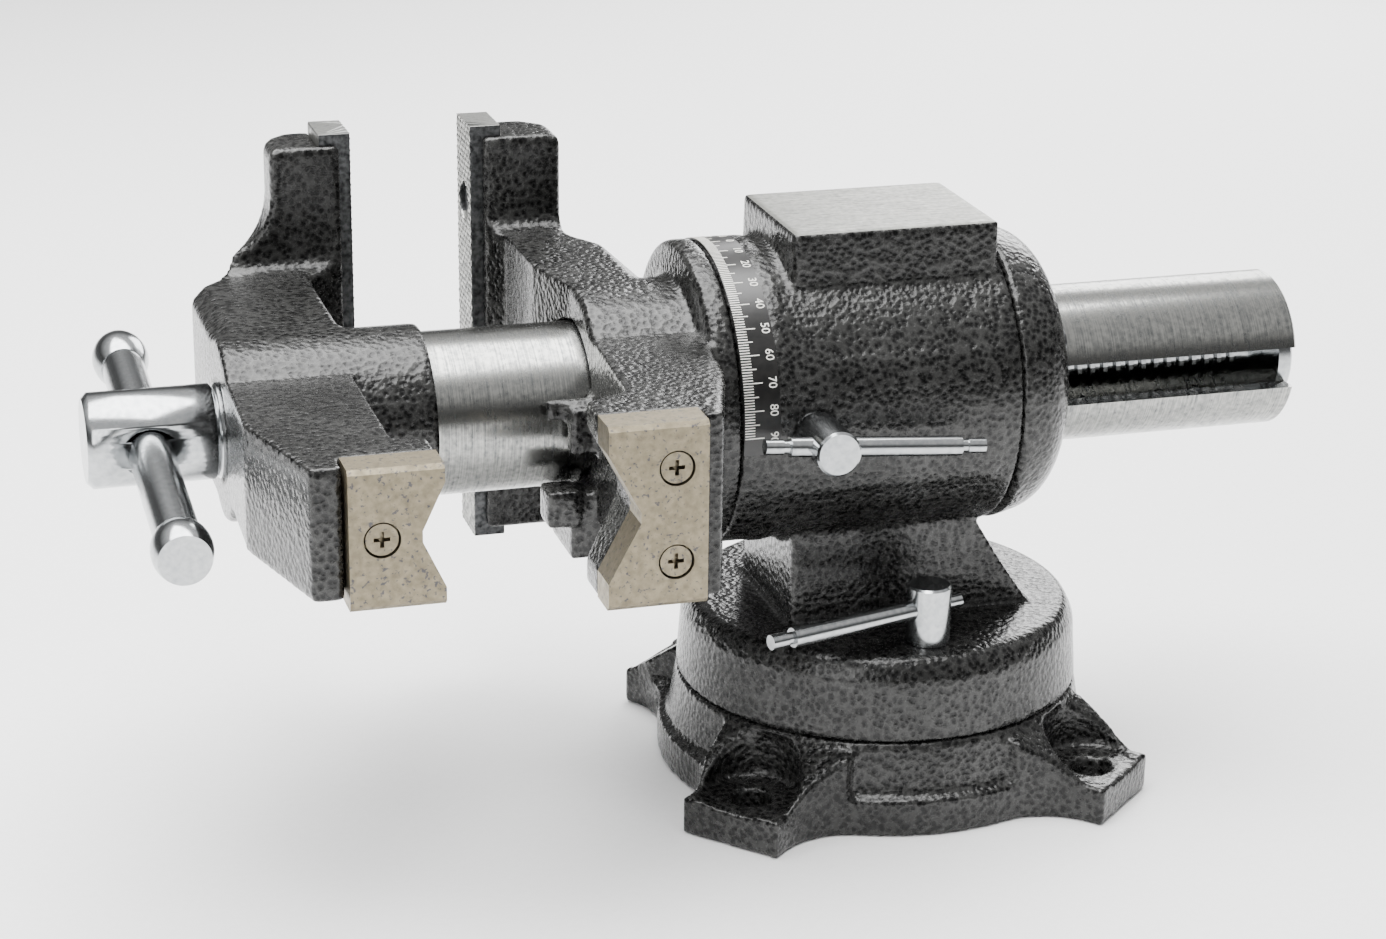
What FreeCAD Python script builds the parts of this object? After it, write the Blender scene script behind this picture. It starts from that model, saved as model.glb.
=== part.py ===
"""Rotating-head bench vise with a swivel base, one STEP file for each loose piece.

Millimetres. The origin is on the swivel axis, at the underside of the base. +Z is up, +X runs
along the slide tube towards its open rear end, and the pipe jaws are on the -Y side.
The head is shown turned a quarter turn, with the flat jaws standing upright on the +Y side.
"""
import FreeCAD, Part
import math
import os

from FreeCAD import Placement, Rotation, Vector

os.makedirs("parts", exist_ok=True)

# --------------------------------------------------------------------------------------------
# Driving sizes
# --------------------------------------------------------------------------------------------
axis_height = 114.5             # slide axis above the bench

# fits and clearances
running_fit = 0.06              # radial, turned surfaces that slide or turn in each other
loose_fit = 0.30                # radial, holes that only let something through
seat_gap = 0.02                 # between a fixed piece and its seat
groove_gap = 0.40               # visible groove between stacked pieces
break_edge = 0.6                # small bevel on turned ends
cut_over = 1.0                  # how far a cut runs past the face that it opens

# base casting
ear_square = 100.0              # side of the square of bench bolt holes
ear_hole_d = 11.0
ear_reaches = [82.0, 77.8, 82.7, 81.8]  # swivel axis to the straight end of each ear
ear_half_width = 15.3
ear_thickness = 11.0
ear_flare_r = 22.0
base_turn = -3.0                # degrees, base turned against the vise above it
base_height = 26.0
base_top_r = 58.7
base_flange_r = 64.0
base_ledge = 2.8                # flat step on top of the flange
pocket_r = 13.9                 # spot face round each bench bolt
pocket_sink = 0.8
gusset_wide = 24.0              # gusset's reach towards the front or back of the base
gusset_narrow = 17.5            # and towards its sides
gusset_drop = 2.6               # gusset below the base's top, at the wall
gusset_run = 17.5               # length of its slope
slot_neck_width = 12.0          # ring slot for the swivel clamp
slot_neck_depth = 7.0
slot_floor = 8.0
slot_channel_width = 22.0
pivot_well_r = 17.0
pivot_web = 10.0                # base iron left above the pivot bolt's head

# turntable, pedestal, barrel and anvil
turntable_rim_r = 53.8
turntable_height = 24.0
pedestal_half_width = 23.0
pedestal_front = 34.0           # swivel axis to the pedestal's front face
pedestal_back_foot = 38.5
pedestal_back_waist = 18.7
pedestal_waist_rise = 9.0        # waist above the barrel's underside
pedestal_rake_x = 29.0          # middle of the raked back
pedestal_rake_share = 0.6376     # its height between turntable and barrel
pedestal_rake_r = 40.0
turntable_roll = 4.0            # rounded top edge of the turntable
turntable_waist_drop = 2.0      # waist below the roll
turntable_waist_swell = 1.2     # outside the mean of foot and rim
turntable_rim_swell = 0.8
barrel_wall = 8.7               # iron round the head's shank
barrel_front = -55.6
barrel_length = 81.6
anvil_front = -35.8
anvil_length = 59.6
anvil_half_width = 23.3
anvil_draft = 1.4               # wider at its foot on each side
anvil_corner_r = 2.0
anvil_rise = 7.4                # anvil face above the barrel
dial_width = 10.7
dial_thickness = 0.5
dial_half_angle = 96.5
dial_rim_width = 4.3
pad_start = 5.8                 # behind the anvil's front
pad_length = 50.0               # raised pad on the barrel's side
pad_half_angle = 26.0
pad_rise = 0.5

# head
shank_wall = 11.34              # iron round the slide tube
disc_step = 0.4                 # disc's rim outside the barrel
disc_width = 6.9
hub_iron = 10.34
hub_length = 29.5
head_face_bevel = 1.2
cap_length = 21.0
cap_straight = 2.0              # cylindrical start of the cap
cap_corner_back = 6.2           # the dome's corner, ahead of the cap's end
cap_corner_drop = 3.1           # and inside the barrel's radius
cap_corner_r = 14.0
cap_mouth_drop = 13.2
cap_mouth_back = 2.7
cap_lip = 1.2
cap_swing_room = 1.0            # between the turning cap and the iron under it
keyway_width = 12.0
keyway_depth = 7.6              # below the tube's surface
keyway_length = 30.0
cap_screw_inset = 14.1          # screw circle inside the barrel's radius
cap_screw_r = 2.5
cap_screw_head_r = 4.3
cap_screw_head_height = 4.5
cap_screw_sink = 8.0            # head's seat below the cap's end
cap_screw_grip = 10.0
hex_key_r = 2.0

# slide tube and moving hub
tube_r = 22.66
tube_wall = 5.66
tube_rear = 118.7
tube_front = -164.0
slot_width = 12.0
slot_front = -42.0
sleeve_wall = 2.34              # iron of the moving hub round the tube
moving_hub_front = -190.0
moving_hub_rear = -134.4
hub_spot_depth = 1.4            # spot face in the hub for the thrust washer
hub_spot_room = 1.5
hub_wall = 16.0                 # iron between the spot face and the collar pocket
grub_r = 4.0
grub_shares = (0.3, 0.7)        # places along the part of the tube that the hub grips

# arms, from the hubs out to the jaws
# cast lugs on the hub, each block as: reach ahead of the hub, its rear end ahead of the hub,
# outer side inside the hub's radius, width, lowest and highest point above the slide axis
upper_lug = (8.0, -2.0, 2.0, 9.0, -5.0, 8.0)
upper_lug_step = (14.0, -2.0, 6.0, 8.0, 4.0, 9.5)
lower_lug_nose = (15.0, 6.0, 0.0, 11.0, -25.0, -14.5)
lower_lug = (8.0, -2.0, 2.0, 23.0, -35.0, -16.0)
lug_room_front = 20.0           # room for the moving hub between the lugs, ahead of the hub
lug_room_back = 2.0
arm_root = 2.0                  # how far an arm reaches into the hub past the slide axis
fixed_neck_lead = 5.0           # fixed flat arm's front, ahead of the hub's front
fixed_neck_start = 26.0         # slide axis to where the neck is at its full depth
fixed_neck_bend = 7.0           # bevel where the neck meets the jaw
fixed_back_swell = 5.0          # back of the fixed neck, wider than the hub
fixed_back_r = 14.0
fixed_arm_waist = 9.0           # arm narrower than the hub where it meets the disc
fixed_back_bend = 12.0
moving_neck_end = 51.0          # slide axis to where the moving arm starts to taper
moving_neck_thickness = 11.5    # gap between the moving arm's rear and its jaw face
moving_back_swell = 12.0
moving_back_r = 16.0
moving_arm_waist = 3.0
neck_bend_r = 5.0
pipe_neck_start = 24.0          # slide axis to where the fixed pipe arm starts to widen
pipe_neck_end = 66.0
pipe_neck_lead = 2.5            # front of the pipe arm at its widest bend, behind the hub's
pipe_back_x = -65.5             # back of the fixed pipe arm, at its bend
pipe_back_y = 58.0
pipe_back_r = 25.0
pipe_rib = 5.2                  # iron beside the fixed pipe plate
pipe_rib_back = 5.0             # set back from the plate's face
pipe_cheek = 12.0               # straight stretch behind the pipe plates
moving_rib = 8.5                # iron beside the moving pipe plate
moving_rib_back = 3.0
moving_pipe_neck = 51.0
moving_pipe_waist = 9.0
plate_edge_gap = 0.6            # pipe plate's edge from the casting's

# flat jaws
jaw_width = 127.0
jaw_opening = 34.8
jaw_face = -105.6               # fixed flat jaw face
plate_thickness = 9.5
plate_height = 17.7
plate_inner = 66.7              # slide axis to the plate's inner edge
plate_proud = 3.6
jaw_casting_overhang = 3.0      # plate past the casting at each end
plate_seat_step = 2.7           # casting inside the plate's inner edge
fixed_jaw_back = 23.0           # thickness of the fixed jaw casting behind its plate
moving_jaw_back = 20.3
jaw_corner = 8.0                # bevel on the outer back edge
jaw_end_r = 3.0
jaw_edge_r = 1.5
jaw_root_r = 5.0
plate_screw_pitch = 78.6
flat_screw_r = 3.0
flat_screw_head_r = 5.6
flat_screw_length = 18.0
flat_screw_cone = 3.0           # height of the countersunk head's cone
flat_screw_rim = 0.8
flat_screw_sink = 1.6           # head below the plate's face
screw_head_room = 0.3
screw_stem_room = 0.2
recess_depth = 2.2              # driver recess

# pipe jaws
pipe_plate_thickness = 11.0
fixed_pipe_front = 94.4         # slide axis to the face of the fixed pipe plate
fixed_pipe_left = -106.6
fixed_pipe_width = 26.0
fixed_pipe_height = 48.9
fixed_notch_height = 34.2
fixed_notch_depth = 8.4
moving_pipe_front = 93.0
moving_pipe_left = -171.9
moving_pipe_width = 24.2
moving_pipe_height = 37.0
moving_notch_height = 27.6
moving_notch_depth = 5.8
notch_flat = 3.0
notch_overrun = 5.0             # notch cut runs past the plate's edge
notch_relief = 0.6              # notch in the casting, outside the plate's notch
pipe_plate_bevel = 1.2
moving_arm_rise = 2.0           # underside of the moving pipe arm above its plate's
pipe_screw_inset = 8.3          # from the plate's solid edge
pipe_screw_r = 2.5
pipe_screw_head_r = 4.15
pipe_screw_well_r = 4.7
pipe_screw_sink = 0.5
pipe_screw_seat = 4.4           # depth of the well for the screw's head
pipe_screw_length = 16.0
fixed_pipe_screw_pitch = 25.0

# spindle and handle
screw_r = 8.0
screw_rear = 108.0
journal_r = 9.5
spindle_head_r = 13.0
spindle_head_length = 34.5
spindle_head_bevel = 1.6
spindle_tail = 3.4              # tail past the tube's rear end
thrust_thickness = 2.8
collar_room = 2.0               # between the collar and the tube's bore
collar_thickness = 8.0
collar_pin_r = 2.0
nut_length = 29.0
nut_key_setback = 2.0           # key shorter than the head's keyway
tail_journal_r = 6.0
tail_disc_thickness = 4.5
tail_disc_proud = 1.8           # past the tube's rear end
tail_disc_bevel = 0.8
key_room = 0.2                  # each side of the nut's key
handle_x = -210.0
handle_r = 6.0
handle_length = 140.0
handle_tip_r = 4.0              # bar turned down inside its knobs
handle_hole_room = 0.1
handle_hole_flare = 1.6
handle_offset = -8.5            # bar's middle from the spindle axis, at rest
handle_tilt = 4.6               # degrees, near end lower
knob_rise = 1.9                 # bulge above the bar
knob_length = 13.0
knob_end_step = 1.1             # end face smaller than the bulge
knob_neck = 0.15                # knob's rim above the bar
knob_crown = 0.55               # widest place along the knob

# locks
lock_head_r = 6.25
lock_thread_r = 5.0
lock_bar_r = 2.75
lock_neck_r = 1.75
lock_stub_r = 2.1
lock_neck_length = 2.0
lock_stub_length = 5.0
lock_boss_gap = 0.6             # between the bolt's head and the barrel
head_lock_x = -34.4
head_lock_head = 18.8           # end of the bolt's head above the barrel
head_lock_bar_height = 11.8     # bar above the barrel
head_lock_bar_left = 18.8
head_lock_bar_right = 44.0
head_lock_bar_tilt = 4.5
swivel_lock_radius = 42.4
swivel_lock_head = 17.0
swivel_lock_bar_long = 52.4
swivel_lock_bar_short = 10.4
swivel_lock_bar_height = 10.0   # above the turntable
swivel_lock_bar_angle = 194.7   # degrees from +X
pad_thickness = 2.2
clamp_size = 17.0
clamp_height = 7.2
clamp_drop = 0.3                # below the shoulder that it pulls against
swivel_stem_floor = 3.0         # bolt's end above the slot's floor
pivot_bolt_r = 6.0
pivot_head_r = 10.0
pivot_head_height = 7.5
pivot_washer_r = 13.0
pivot_washer_thickness = 2.5
pivot_boss_depth = 18.0

# --------------------------------------------------------------------------------------------
# Places that follow from the sizes
# --------------------------------------------------------------------------------------------
H = axis_height
tube_bore_r = tube_r - tube_wall
moving_hub_r = tube_r + sleeve_wall
hub_r = tube_r + hub_iron
shank_r = tube_r + shank_wall
barrel_r = shank_r + barrel_wall
disc_r = barrel_r + disc_step
collar_r = tube_bore_r - collar_room
cap_mouth_r = barrel_r - cap_mouth_drop
cap_screw_circle_r = barrel_r - cap_screw_inset
anvil_height = barrel_r + anvil_rise
head_lock_reach = barrel_r + head_lock_head
head_lock_bar_y = -barrel_r - head_lock_bar_height
knob_r = handle_r + knob_rise
turntable_top = base_height + turntable_height
barrel_underside = H - barrel_r
pedestal_rake_z = turntable_top + pedestal_rake_share * (barrel_underside - turntable_top)
pedestal_waist_z = barrel_underside + pedestal_waist_rise
barrel_rear = barrel_front + barrel_length
disc_front = barrel_front - disc_width
hub_front = disc_front - hub_length
cap_rear = barrel_rear + cap_length
fixed_casting_face = jaw_face + plate_proud
moving_jaw_face = jaw_face - jaw_opening
moving_casting_face = moving_jaw_face - plate_proud
jaw_half_width = jaw_width / 2
jaw_casting_half = jaw_half_width - jaw_casting_overhang
plate_outer = plate_inner + plate_height
jaw_casting_inner = plate_inner - plate_seat_step
jaw_casting_outer = plate_outer + plate_edge_gap
ear_hole_circle_r = ear_square / math.sqrt(2)
spot_face = moving_hub_front + hub_spot_depth
thrust_front = spot_face - thrust_thickness - running_fit
spindle_head_rear = thrust_front - groove_gap
collar_pocket = spot_face + hub_wall
collar_front = collar_pocket + running_fit
collar_pin_x = collar_front + collar_thickness / 2
tail_disc_front = tube_rear - tail_disc_thickness + tail_disc_proud
fixed_pipe_seat = -fixed_pipe_front + pipe_plate_thickness
moving_pipe_seat = -moving_pipe_front + pipe_plate_thickness
clamp_shoulder = base_height - slot_neck_depth


# --------------------------------------------------------------------------------------------
# Shape helpers
# --------------------------------------------------------------------------------------------
def box(x0, x1, y0, y1, z0, z1):
    """Block between two corners."""
    return Part.makeBox(x1 - x0, y1 - y0, z1 - z0, Vector(x0, y0, z0))


def cyl_x(radius, x0, x1, y=0.0, z=axis_height):
    """Round bar along X."""
    return Part.makeCylinder(radius, x1 - x0, Vector(x0, y, z), Vector(1, 0, 0))


def cyl_y(radius, x, z, y0, y1):
    """Round bar along Y."""
    return Part.makeCylinder(radius, y1 - y0, Vector(x, y0, z), Vector(0, 1, 0))


def cyl_z(radius, x, y, z0, z1):
    """Round bar along Z."""
    return Part.makeCylinder(radius, z1 - z0, Vector(x, y, z0), Vector(0, 0, 1))


def corner_arc(before, corner, after, radius):
    """The two tangent points and the middle of an arc that rounds one corner of an outline."""
    to_before = (before - corner).normalize()
    to_after = (after - corner).normalize()
    half = to_before.getAngle(to_after) / 2
    reach = radius / math.tan(half)
    inward = (to_before + to_after).normalize()
    middle = corner + inward * (radius / math.sin(half) - radius)
    return corner + to_before * reach, middle, corner + to_after * reach


def outline(points, place):
    """Flat face from (a, b) corners, with (a, b, r) where a corner is rounded."""
    corners = [place(p[0], p[1]) for p in points]
    edges = []
    ends = []
    for i, point in enumerate(points):
        if len(point) == 3:
            before, after = corners[i - 1], corners[(i + 1) % len(points)]
            start, middle, end = corner_arc(before, corners[i], after, point[2])
            edges.append(Part.Arc(start, middle, end).toShape())
            ends.append((start, end))
        else:
            edges.append(None)
            ends.append((corners[i], corners[i]))
    path = []
    for i, edge in enumerate(edges):
        if edge is not None:
            path.append(edge)
        start = ends[i][1]
        end = ends[(i + 1) % len(ends)][0]
        if start.distanceToPoint(end) > 1e-6:
            path.append(Part.LineSegment(start, end).toShape())
    return Part.Face(Part.Wire(path))


def prism_x(points, x0, x1):
    """Outline in Y and height above the slide axis, swept along X."""
    face = outline(points, lambda y, h: Vector(x0, y, H + h))
    return face.extrude(Vector(x1 - x0, 0, 0))


def prism_y(points, y0, y1):
    """Outline in X and height above the slide axis, swept along Y."""
    face = outline(points, lambda x, h: Vector(x, y0, H + h))
    return face.extrude(Vector(0, y1 - y0, 0))


def prism_z(points, z0, z1):
    """Plan outline swept upwards."""
    face = outline(points, lambda x, y: Vector(x, y, z0))
    return face.extrude(Vector(0, 0, z1 - z0))


def turned_x(points):
    """Profile of (x, radius) turned about the slide axis."""
    face = outline(points, lambda x, r: Vector(x, 0, H + r))
    return face.revolve(Vector(0, 0, H), Vector(1, 0, 0), 360)


def turned_z(points):
    """Profile of (radius, z) turned about the swivel axis."""
    face = outline(points, lambda r, z: Vector(r, 0, z))
    return face.revolve(Vector(0, 0, 0), Vector(0, 0, 1), 360)


def mirrored_heights(points):
    """Closed outline from its upper half: (a, h) corners down to the axis, then their mirror."""
    lower = [(p[0], -p[1]) + tuple(p[2:]) for p in reversed(points)]
    return list(points) + lower


def fuse(shapes):
    """One solid from touching or overlapping ones."""
    joined = shapes[0].multiFuse(shapes[1:])
    return joined.removeSplitter()


def cut(shape, tools):
    """Shape with every tool taken out of it."""
    for tool in tools:
        shape = shape.cut(tool)
    return shape


def common(shapes):
    """What all the shapes share."""
    shared = shapes[0]
    for shape in shapes[1:]:
        shared = shared.common(shape)
    return shared


def spun(shape, angle, centre, axis):
    """Copy of a shape turned about an axis through a centre."""
    turned = shape.copy()
    turned.rotate(centre, axis, angle)
    return turned


def save(node, shapes):
    """Write one node, a single solid or a group of like solids."""
    shape = shapes[0] if len(shapes) == 1 else Part.makeCompound(shapes)
    for solid in shape.Solids:
        assert solid.isValid(), node
    shape.exportStep("parts/" + node + ".step")
    print(node, len(shape.Solids), round(shape.Volume / 1000, 2), "cm3")


# --------------------------------------------------------------------------------------------
# Base
# --------------------------------------------------------------------------------------------
def ear_angles():
    """Directions of the four ears, in degrees."""
    return [base_turn + 45 + 90 * i for i in range(4)]


def base_outline():
    """Plan of the flange: a disc with four ears that flare out of it, each to its own reach."""
    flare_x = math.sqrt((base_flange_r + ear_flare_r) ** 2 - (ear_half_width + ear_flare_r) ** 2)
    flare_y = ear_half_width + ear_flare_r
    shrink = base_flange_r / (base_flange_r + ear_flare_r)
    on_disc = Vector(flare_x * shrink, flare_y * shrink, 0)
    centre = Vector(flare_x, flare_y, 0)
    middle_dir = (Vector(0, -1, 0) + (on_disc - centre).normalize()).normalize()
    edges = []
    for i, angle in enumerate(ear_angles()):
        turn = Rotation(Vector(0, 0, 1), angle)
        next_turn = Rotation(Vector(0, 0, 1), angle + 90)
        flare = [Vector(flare_x, ear_half_width, 0), centre + middle_dir * ear_flare_r, on_disc]
        reach = ear_reaches[i]
        next_reach = ear_reaches[(i + 1) % len(ear_reaches)]
        side, bend, disc = [turn.multVec(p) for p in flare]
        next_side, next_bend, next_disc = [
            next_turn.multVec(Vector(p.x, -p.y, 0)) for p in flare]
        corner = turn.multVec(Vector(reach, ear_half_width, 0))
        far_corner = turn.multVec(Vector(reach, -ear_half_width, 0))
        next_corner = next_turn.multVec(Vector(next_reach, -ear_half_width, 0))
        gap_middle = Rotation(Vector(0, 0, 1), angle + 45).multVec(Vector(base_flange_r, 0, 0))
        edges += [
            Part.LineSegment(far_corner, corner).toShape(),
            Part.LineSegment(corner, side).toShape(),
            Part.Arc(side, bend, disc).toShape(),
            Part.Arc(disc, gap_middle, next_disc).toShape(),
            Part.Arc(next_disc, next_bend, next_side).toShape(),
            Part.LineSegment(next_side, next_corner).toShape(),
        ]
    return Part.Face(Part.Wire(edges))


def gusset(angle):
    """Sloping block that ties an ear to the wall, before its bolt pocket is taken out."""
    side_on_right = math.sin(math.radians(angle)) * math.cos(math.radians(angle)) > 0
    right, left = gusset_wide, gusset_narrow
    if side_on_right:
        right, left = gusset_narrow, gusset_wide
    slope_end = base_top_r + gusset_run
    top = base_height - gusset_drop
    side = [(0, 0), (slope_end, 0), (slope_end, ear_thickness), (base_top_r, top), (0, top)]
    face = outline(side, lambda along, z: Vector(along, -right, z))
    block = face.extrude(Vector(0, right + left, 0))
    return spun(block, angle, Vector(0, 0, 0), Vector(0, 0, 1))


def base_casting():
    """Swivel base with bench ears, ring slot for the clamp and a well for the pivot bolt."""
    plan = base_outline()
    wall_foot_r = base_flange_r - base_ledge
    flange = plan.extrude(Vector(0, 0, ear_thickness))
    wall = turned_z([(0, 0), (wall_foot_r, 0), (wall_foot_r, ear_thickness),
                     (base_top_r, base_height - break_edge),
                     (base_top_r - break_edge, base_height), (0, base_height)])
    tall_plan = plan.extrude(Vector(0, 0, base_height))
    solid = fuse([flange, wall] + [gusset(a).common(tall_plan) for a in ear_angles()])
    cuts = []
    for angle in ear_angles():
        x = ear_hole_circle_r * math.cos(math.radians(angle))
        y = ear_hole_circle_r * math.sin(math.radians(angle))
        cuts.append(cyl_z(ear_hole_d / 2, x, y, -cut_over, ear_thickness + cut_over))
        cuts.append(cyl_z(pocket_r, x, y, ear_thickness - pocket_sink,
                          base_height - gusset_drop + cut_over))
    neck_in = swivel_lock_radius - slot_neck_width / 2
    neck_out = swivel_lock_radius + slot_neck_width / 2
    chan_in = swivel_lock_radius - slot_channel_width / 2
    chan_out = swivel_lock_radius + slot_channel_width / 2
    over_top = base_height + cut_over
    cuts.append(turned_z([(neck_in, slot_floor), (neck_out, slot_floor),
                          (neck_out, over_top), (neck_in, over_top)]))
    cuts.append(turned_z([(chan_in, slot_floor), (chan_out, slot_floor),
                          (chan_out, clamp_shoulder), (chan_in, clamp_shoulder)]))
    cuts.append(cyl_z(pivot_well_r, 0, 0, -cut_over, base_height - pivot_web))
    cuts.append(cyl_z(pivot_bolt_r + running_fit, 0, 0, 0, over_top))
    return cut(solid, cuts)


# --------------------------------------------------------------------------------------------
# Turntable, pedestal, barrel and anvil: one casting
# --------------------------------------------------------------------------------------------
def turntable():
    """Round foot that turns on the base, slightly waisted under its rolled top edge."""
    waist_r = (base_top_r + turntable_rim_r) / 2
    waist_z = turntable_top - turntable_roll - turntable_waist_drop
    return turned_z([(0, base_height), (base_top_r - break_edge, base_height),
                     (base_top_r, base_height + break_edge),
                     (waist_r + turntable_waist_swell, waist_z),
                     (turntable_rim_r + turntable_rim_swell, turntable_top, turntable_roll),
                     (0, turntable_top)])


def pedestal():
    """Web between the turntable and the barrel, raked at the back."""
    low = turntable_top - cut_over - H
    high = -math.sqrt(barrel_r ** 2 - pedestal_half_width ** 2) + cut_over
    rake = (pedestal_rake_x, pedestal_rake_z - H, pedestal_rake_r)
    return prism_y([(-pedestal_front, low), (pedestal_back_foot, low),
                    (pedestal_back_foot, low + cut_over), rake,
                    (pedestal_back_waist, pedestal_waist_z - H),
                    (pedestal_back_waist, high), (-pedestal_front, high)],
                   -pedestal_half_width, pedestal_half_width)


def raised_pad():
    """Low panel on the side of the barrel, a slice of a ring."""
    start = anvil_front + pad_start
    ring = cyl_x(barrel_r + pad_rise, start, start + pad_length)
    reach = 2 * barrel_r
    spread = reach * math.tan(math.radians(pad_half_angle))
    wedge = prism_x([(0, 0), (-reach, spread), (-reach, -spread)], start, start + pad_length)
    return ring.common(wedge)


def anvil():
    """Flat-topped block on the barrel, a little wider at its foot."""
    foot = anvil_half_width + anvil_draft
    sides = prism_x([(-foot, shank_r + cut_over), (-anvil_half_width, anvil_height),
                     (anvil_half_width, anvil_height), (foot, shank_r + cut_over)],
                    anvil_front, anvil_front + anvil_length)
    corners = [(anvil_front, -foot, anvil_corner_r),
               (anvil_front + anvil_length, -foot, anvil_corner_r),
               (anvil_front + anvil_length, foot, anvil_corner_r),
               (anvil_front, foot, anvil_corner_r)]
    return sides.common(prism_z(corners, H, H + anvil_height))


def body_casting():
    """Turntable, pedestal, barrel, anvil and the side pad in one piece of iron."""
    dial_rear = barrel_front + dial_width
    rim_rear = dial_rear + dial_rim_width
    barrel = turned_x([(barrel_front, 0), (barrel_front, barrel_r), (dial_rear, barrel_r),
                       (dial_rear, barrel_r + dial_thickness),
                       (rim_rear, barrel_r + dial_thickness), (rim_rear, barrel_r),
                       (barrel_rear - break_edge, barrel_r),
                       (barrel_rear, barrel_r - break_edge), (barrel_rear, 0)])
    solid = fuse([turntable(), pedestal(), barrel, anvil(), raised_pad()])
    lock_hole = cyl_y(lock_thread_r + running_fit, head_lock_x, H,
                      -barrel_r - pad_rise - cut_over, -shank_r + cut_over)
    swivel_hole = cyl_z(lock_thread_r + loose_fit, 0, -swivel_lock_radius,
                        base_height - cut_over, turntable_top + cut_over)
    pivot_hole = cyl_z(pivot_bolt_r, 0, 0, base_height - cut_over,
                       base_height + pivot_boss_depth)
    bore = cyl_x(shank_r + running_fit, barrel_front - cut_over, barrel_rear + cut_over)
    cap_swing = cyl_x(barrel_r + cap_swing_room, barrel_rear, cap_rear + cut_over)
    return cut(solid, [bore, lock_hole, swivel_hole, pivot_hole, cap_swing])


def dial_strip():
    """Thin graduated band wrapped over the top front of the barrel."""
    front = barrel_front + groove_gap
    rear = barrel_front + dial_width - seat_gap
    band = turned_x([(front, barrel_r + seat_gap), (front, barrel_r + dial_thickness),
                     (rear, barrel_r + dial_thickness), (rear, barrel_r + seat_gap)])
    reach = 2 * barrel_r
    drop = reach * math.tan(math.radians(dial_half_angle - 90))
    keep = prism_x([(0, 0), (-reach, -drop), (-reach, reach), (reach, reach), (reach, -drop)],
                   barrel_front, barrel_front + dial_width)
    return band.common(keep)


# --------------------------------------------------------------------------------------------
# Head
# --------------------------------------------------------------------------------------------
def fixed_flat_arm():
    """Arm of the fixed flat jaw, from the hub out to the jaw."""
    face = fixed_casting_face
    back = face + fixed_jaw_back
    front_x = hub_front - fixed_neck_lead
    neck_end = jaw_casting_inner - fixed_neck_bend
    waist = hub_r - fixed_arm_waist
    side = prism_y(mirrored_heights([
        (face, jaw_casting_half, jaw_edge_r), (back, jaw_casting_half, jaw_end_r),
        (back, hub_r + fixed_back_swell, fixed_back_r), (disc_front, waist)]),
        -arm_root, jaw_casting_outer)
    front = prism_x(mirrored_heights([
        (-arm_root, hub_r), (jaw_casting_inner, hub_r, jaw_root_r),
        (jaw_casting_inner, jaw_casting_half, jaw_edge_r),
        (jaw_casting_outer, jaw_casting_half, jaw_edge_r)]), face, disc_front)
    plan = prism_z([
        (hub_front, -arm_root), (hub_front, arm_root), (front_x, fixed_neck_start),
        (front_x, neck_end), (face, jaw_casting_inner), (face, jaw_casting_outer),
        (back - jaw_corner, jaw_casting_outer), (back, jaw_casting_outer - jaw_corner),
        (back, neck_end - jaw_end_r, fixed_back_bend), (disc_front, waist),
        (disc_front, -arm_root)],
        H - jaw_half_width, H + jaw_half_width)
    return common([side, front, plan])


def fixed_pipe_arm():
    """Arm of the fixed pipe jaw, with the notch carried on into the iron."""
    half = fixed_pipe_height / 2
    right = fixed_pipe_left + fixed_pipe_width
    rib_y = -fixed_pipe_front + pipe_rib_back
    return prism_z([
        (hub_front, 0), (hub_front, -pipe_neck_start),
        (hub_front - pipe_neck_lead, -pipe_neck_end, jaw_root_r),
        (fixed_pipe_left, fixed_pipe_seat + pipe_cheek), (fixed_pipe_left, fixed_pipe_seat),
        (right + plate_edge_gap, fixed_pipe_seat), (right + plate_edge_gap, rib_y),
        (right + pipe_rib, rib_y), (pipe_back_x, -pipe_back_y, pipe_back_r),
        (disc_front, -shank_r), (disc_front, 0)], H - half, H + half)


def pipe_notch(edge_x, direction, height, depth, y0, y1, extra=0.0):
    """V notch that opens past edge_x; direction is +1 where it is cut towards +X."""
    slope = depth / (height / 2 - notch_flat / 2)
    mouth = edge_x - direction * notch_overrun
    mouth_half = height / 2 + notch_overrun / slope + extra
    tip = edge_x + direction * (depth + extra)
    tip_half = notch_flat / 2 + extra
    return prism_y([(mouth, mouth_half), (tip, tip_half), (tip, -tip_half),
                    (mouth, -mouth_half)], y0, y1)


def lug_block(reach, end, inset, width, low, high):
    """One block of a lug, placed from the hub's front and its outer radius."""
    outer = inset - hub_r
    return box(hub_front - reach, hub_front - end, outer, outer + width, H + low, H + high)


def lugs():
    """Two small stepped cast lugs beside the tube, at the front of the fixed hub."""
    upper = fuse([lug_block(*upper_lug), lug_block(*upper_lug_step)])
    lower = fuse([lug_block(*lower_lug_nose), lug_block(*lower_lug)])
    sleeve_room = cyl_x(moving_hub_r + plate_edge_gap, hub_front - lug_room_front,
                        hub_front - lug_room_back)
    return [upper.cut(sleeve_room), lower.cut(sleeve_room)]


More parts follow.
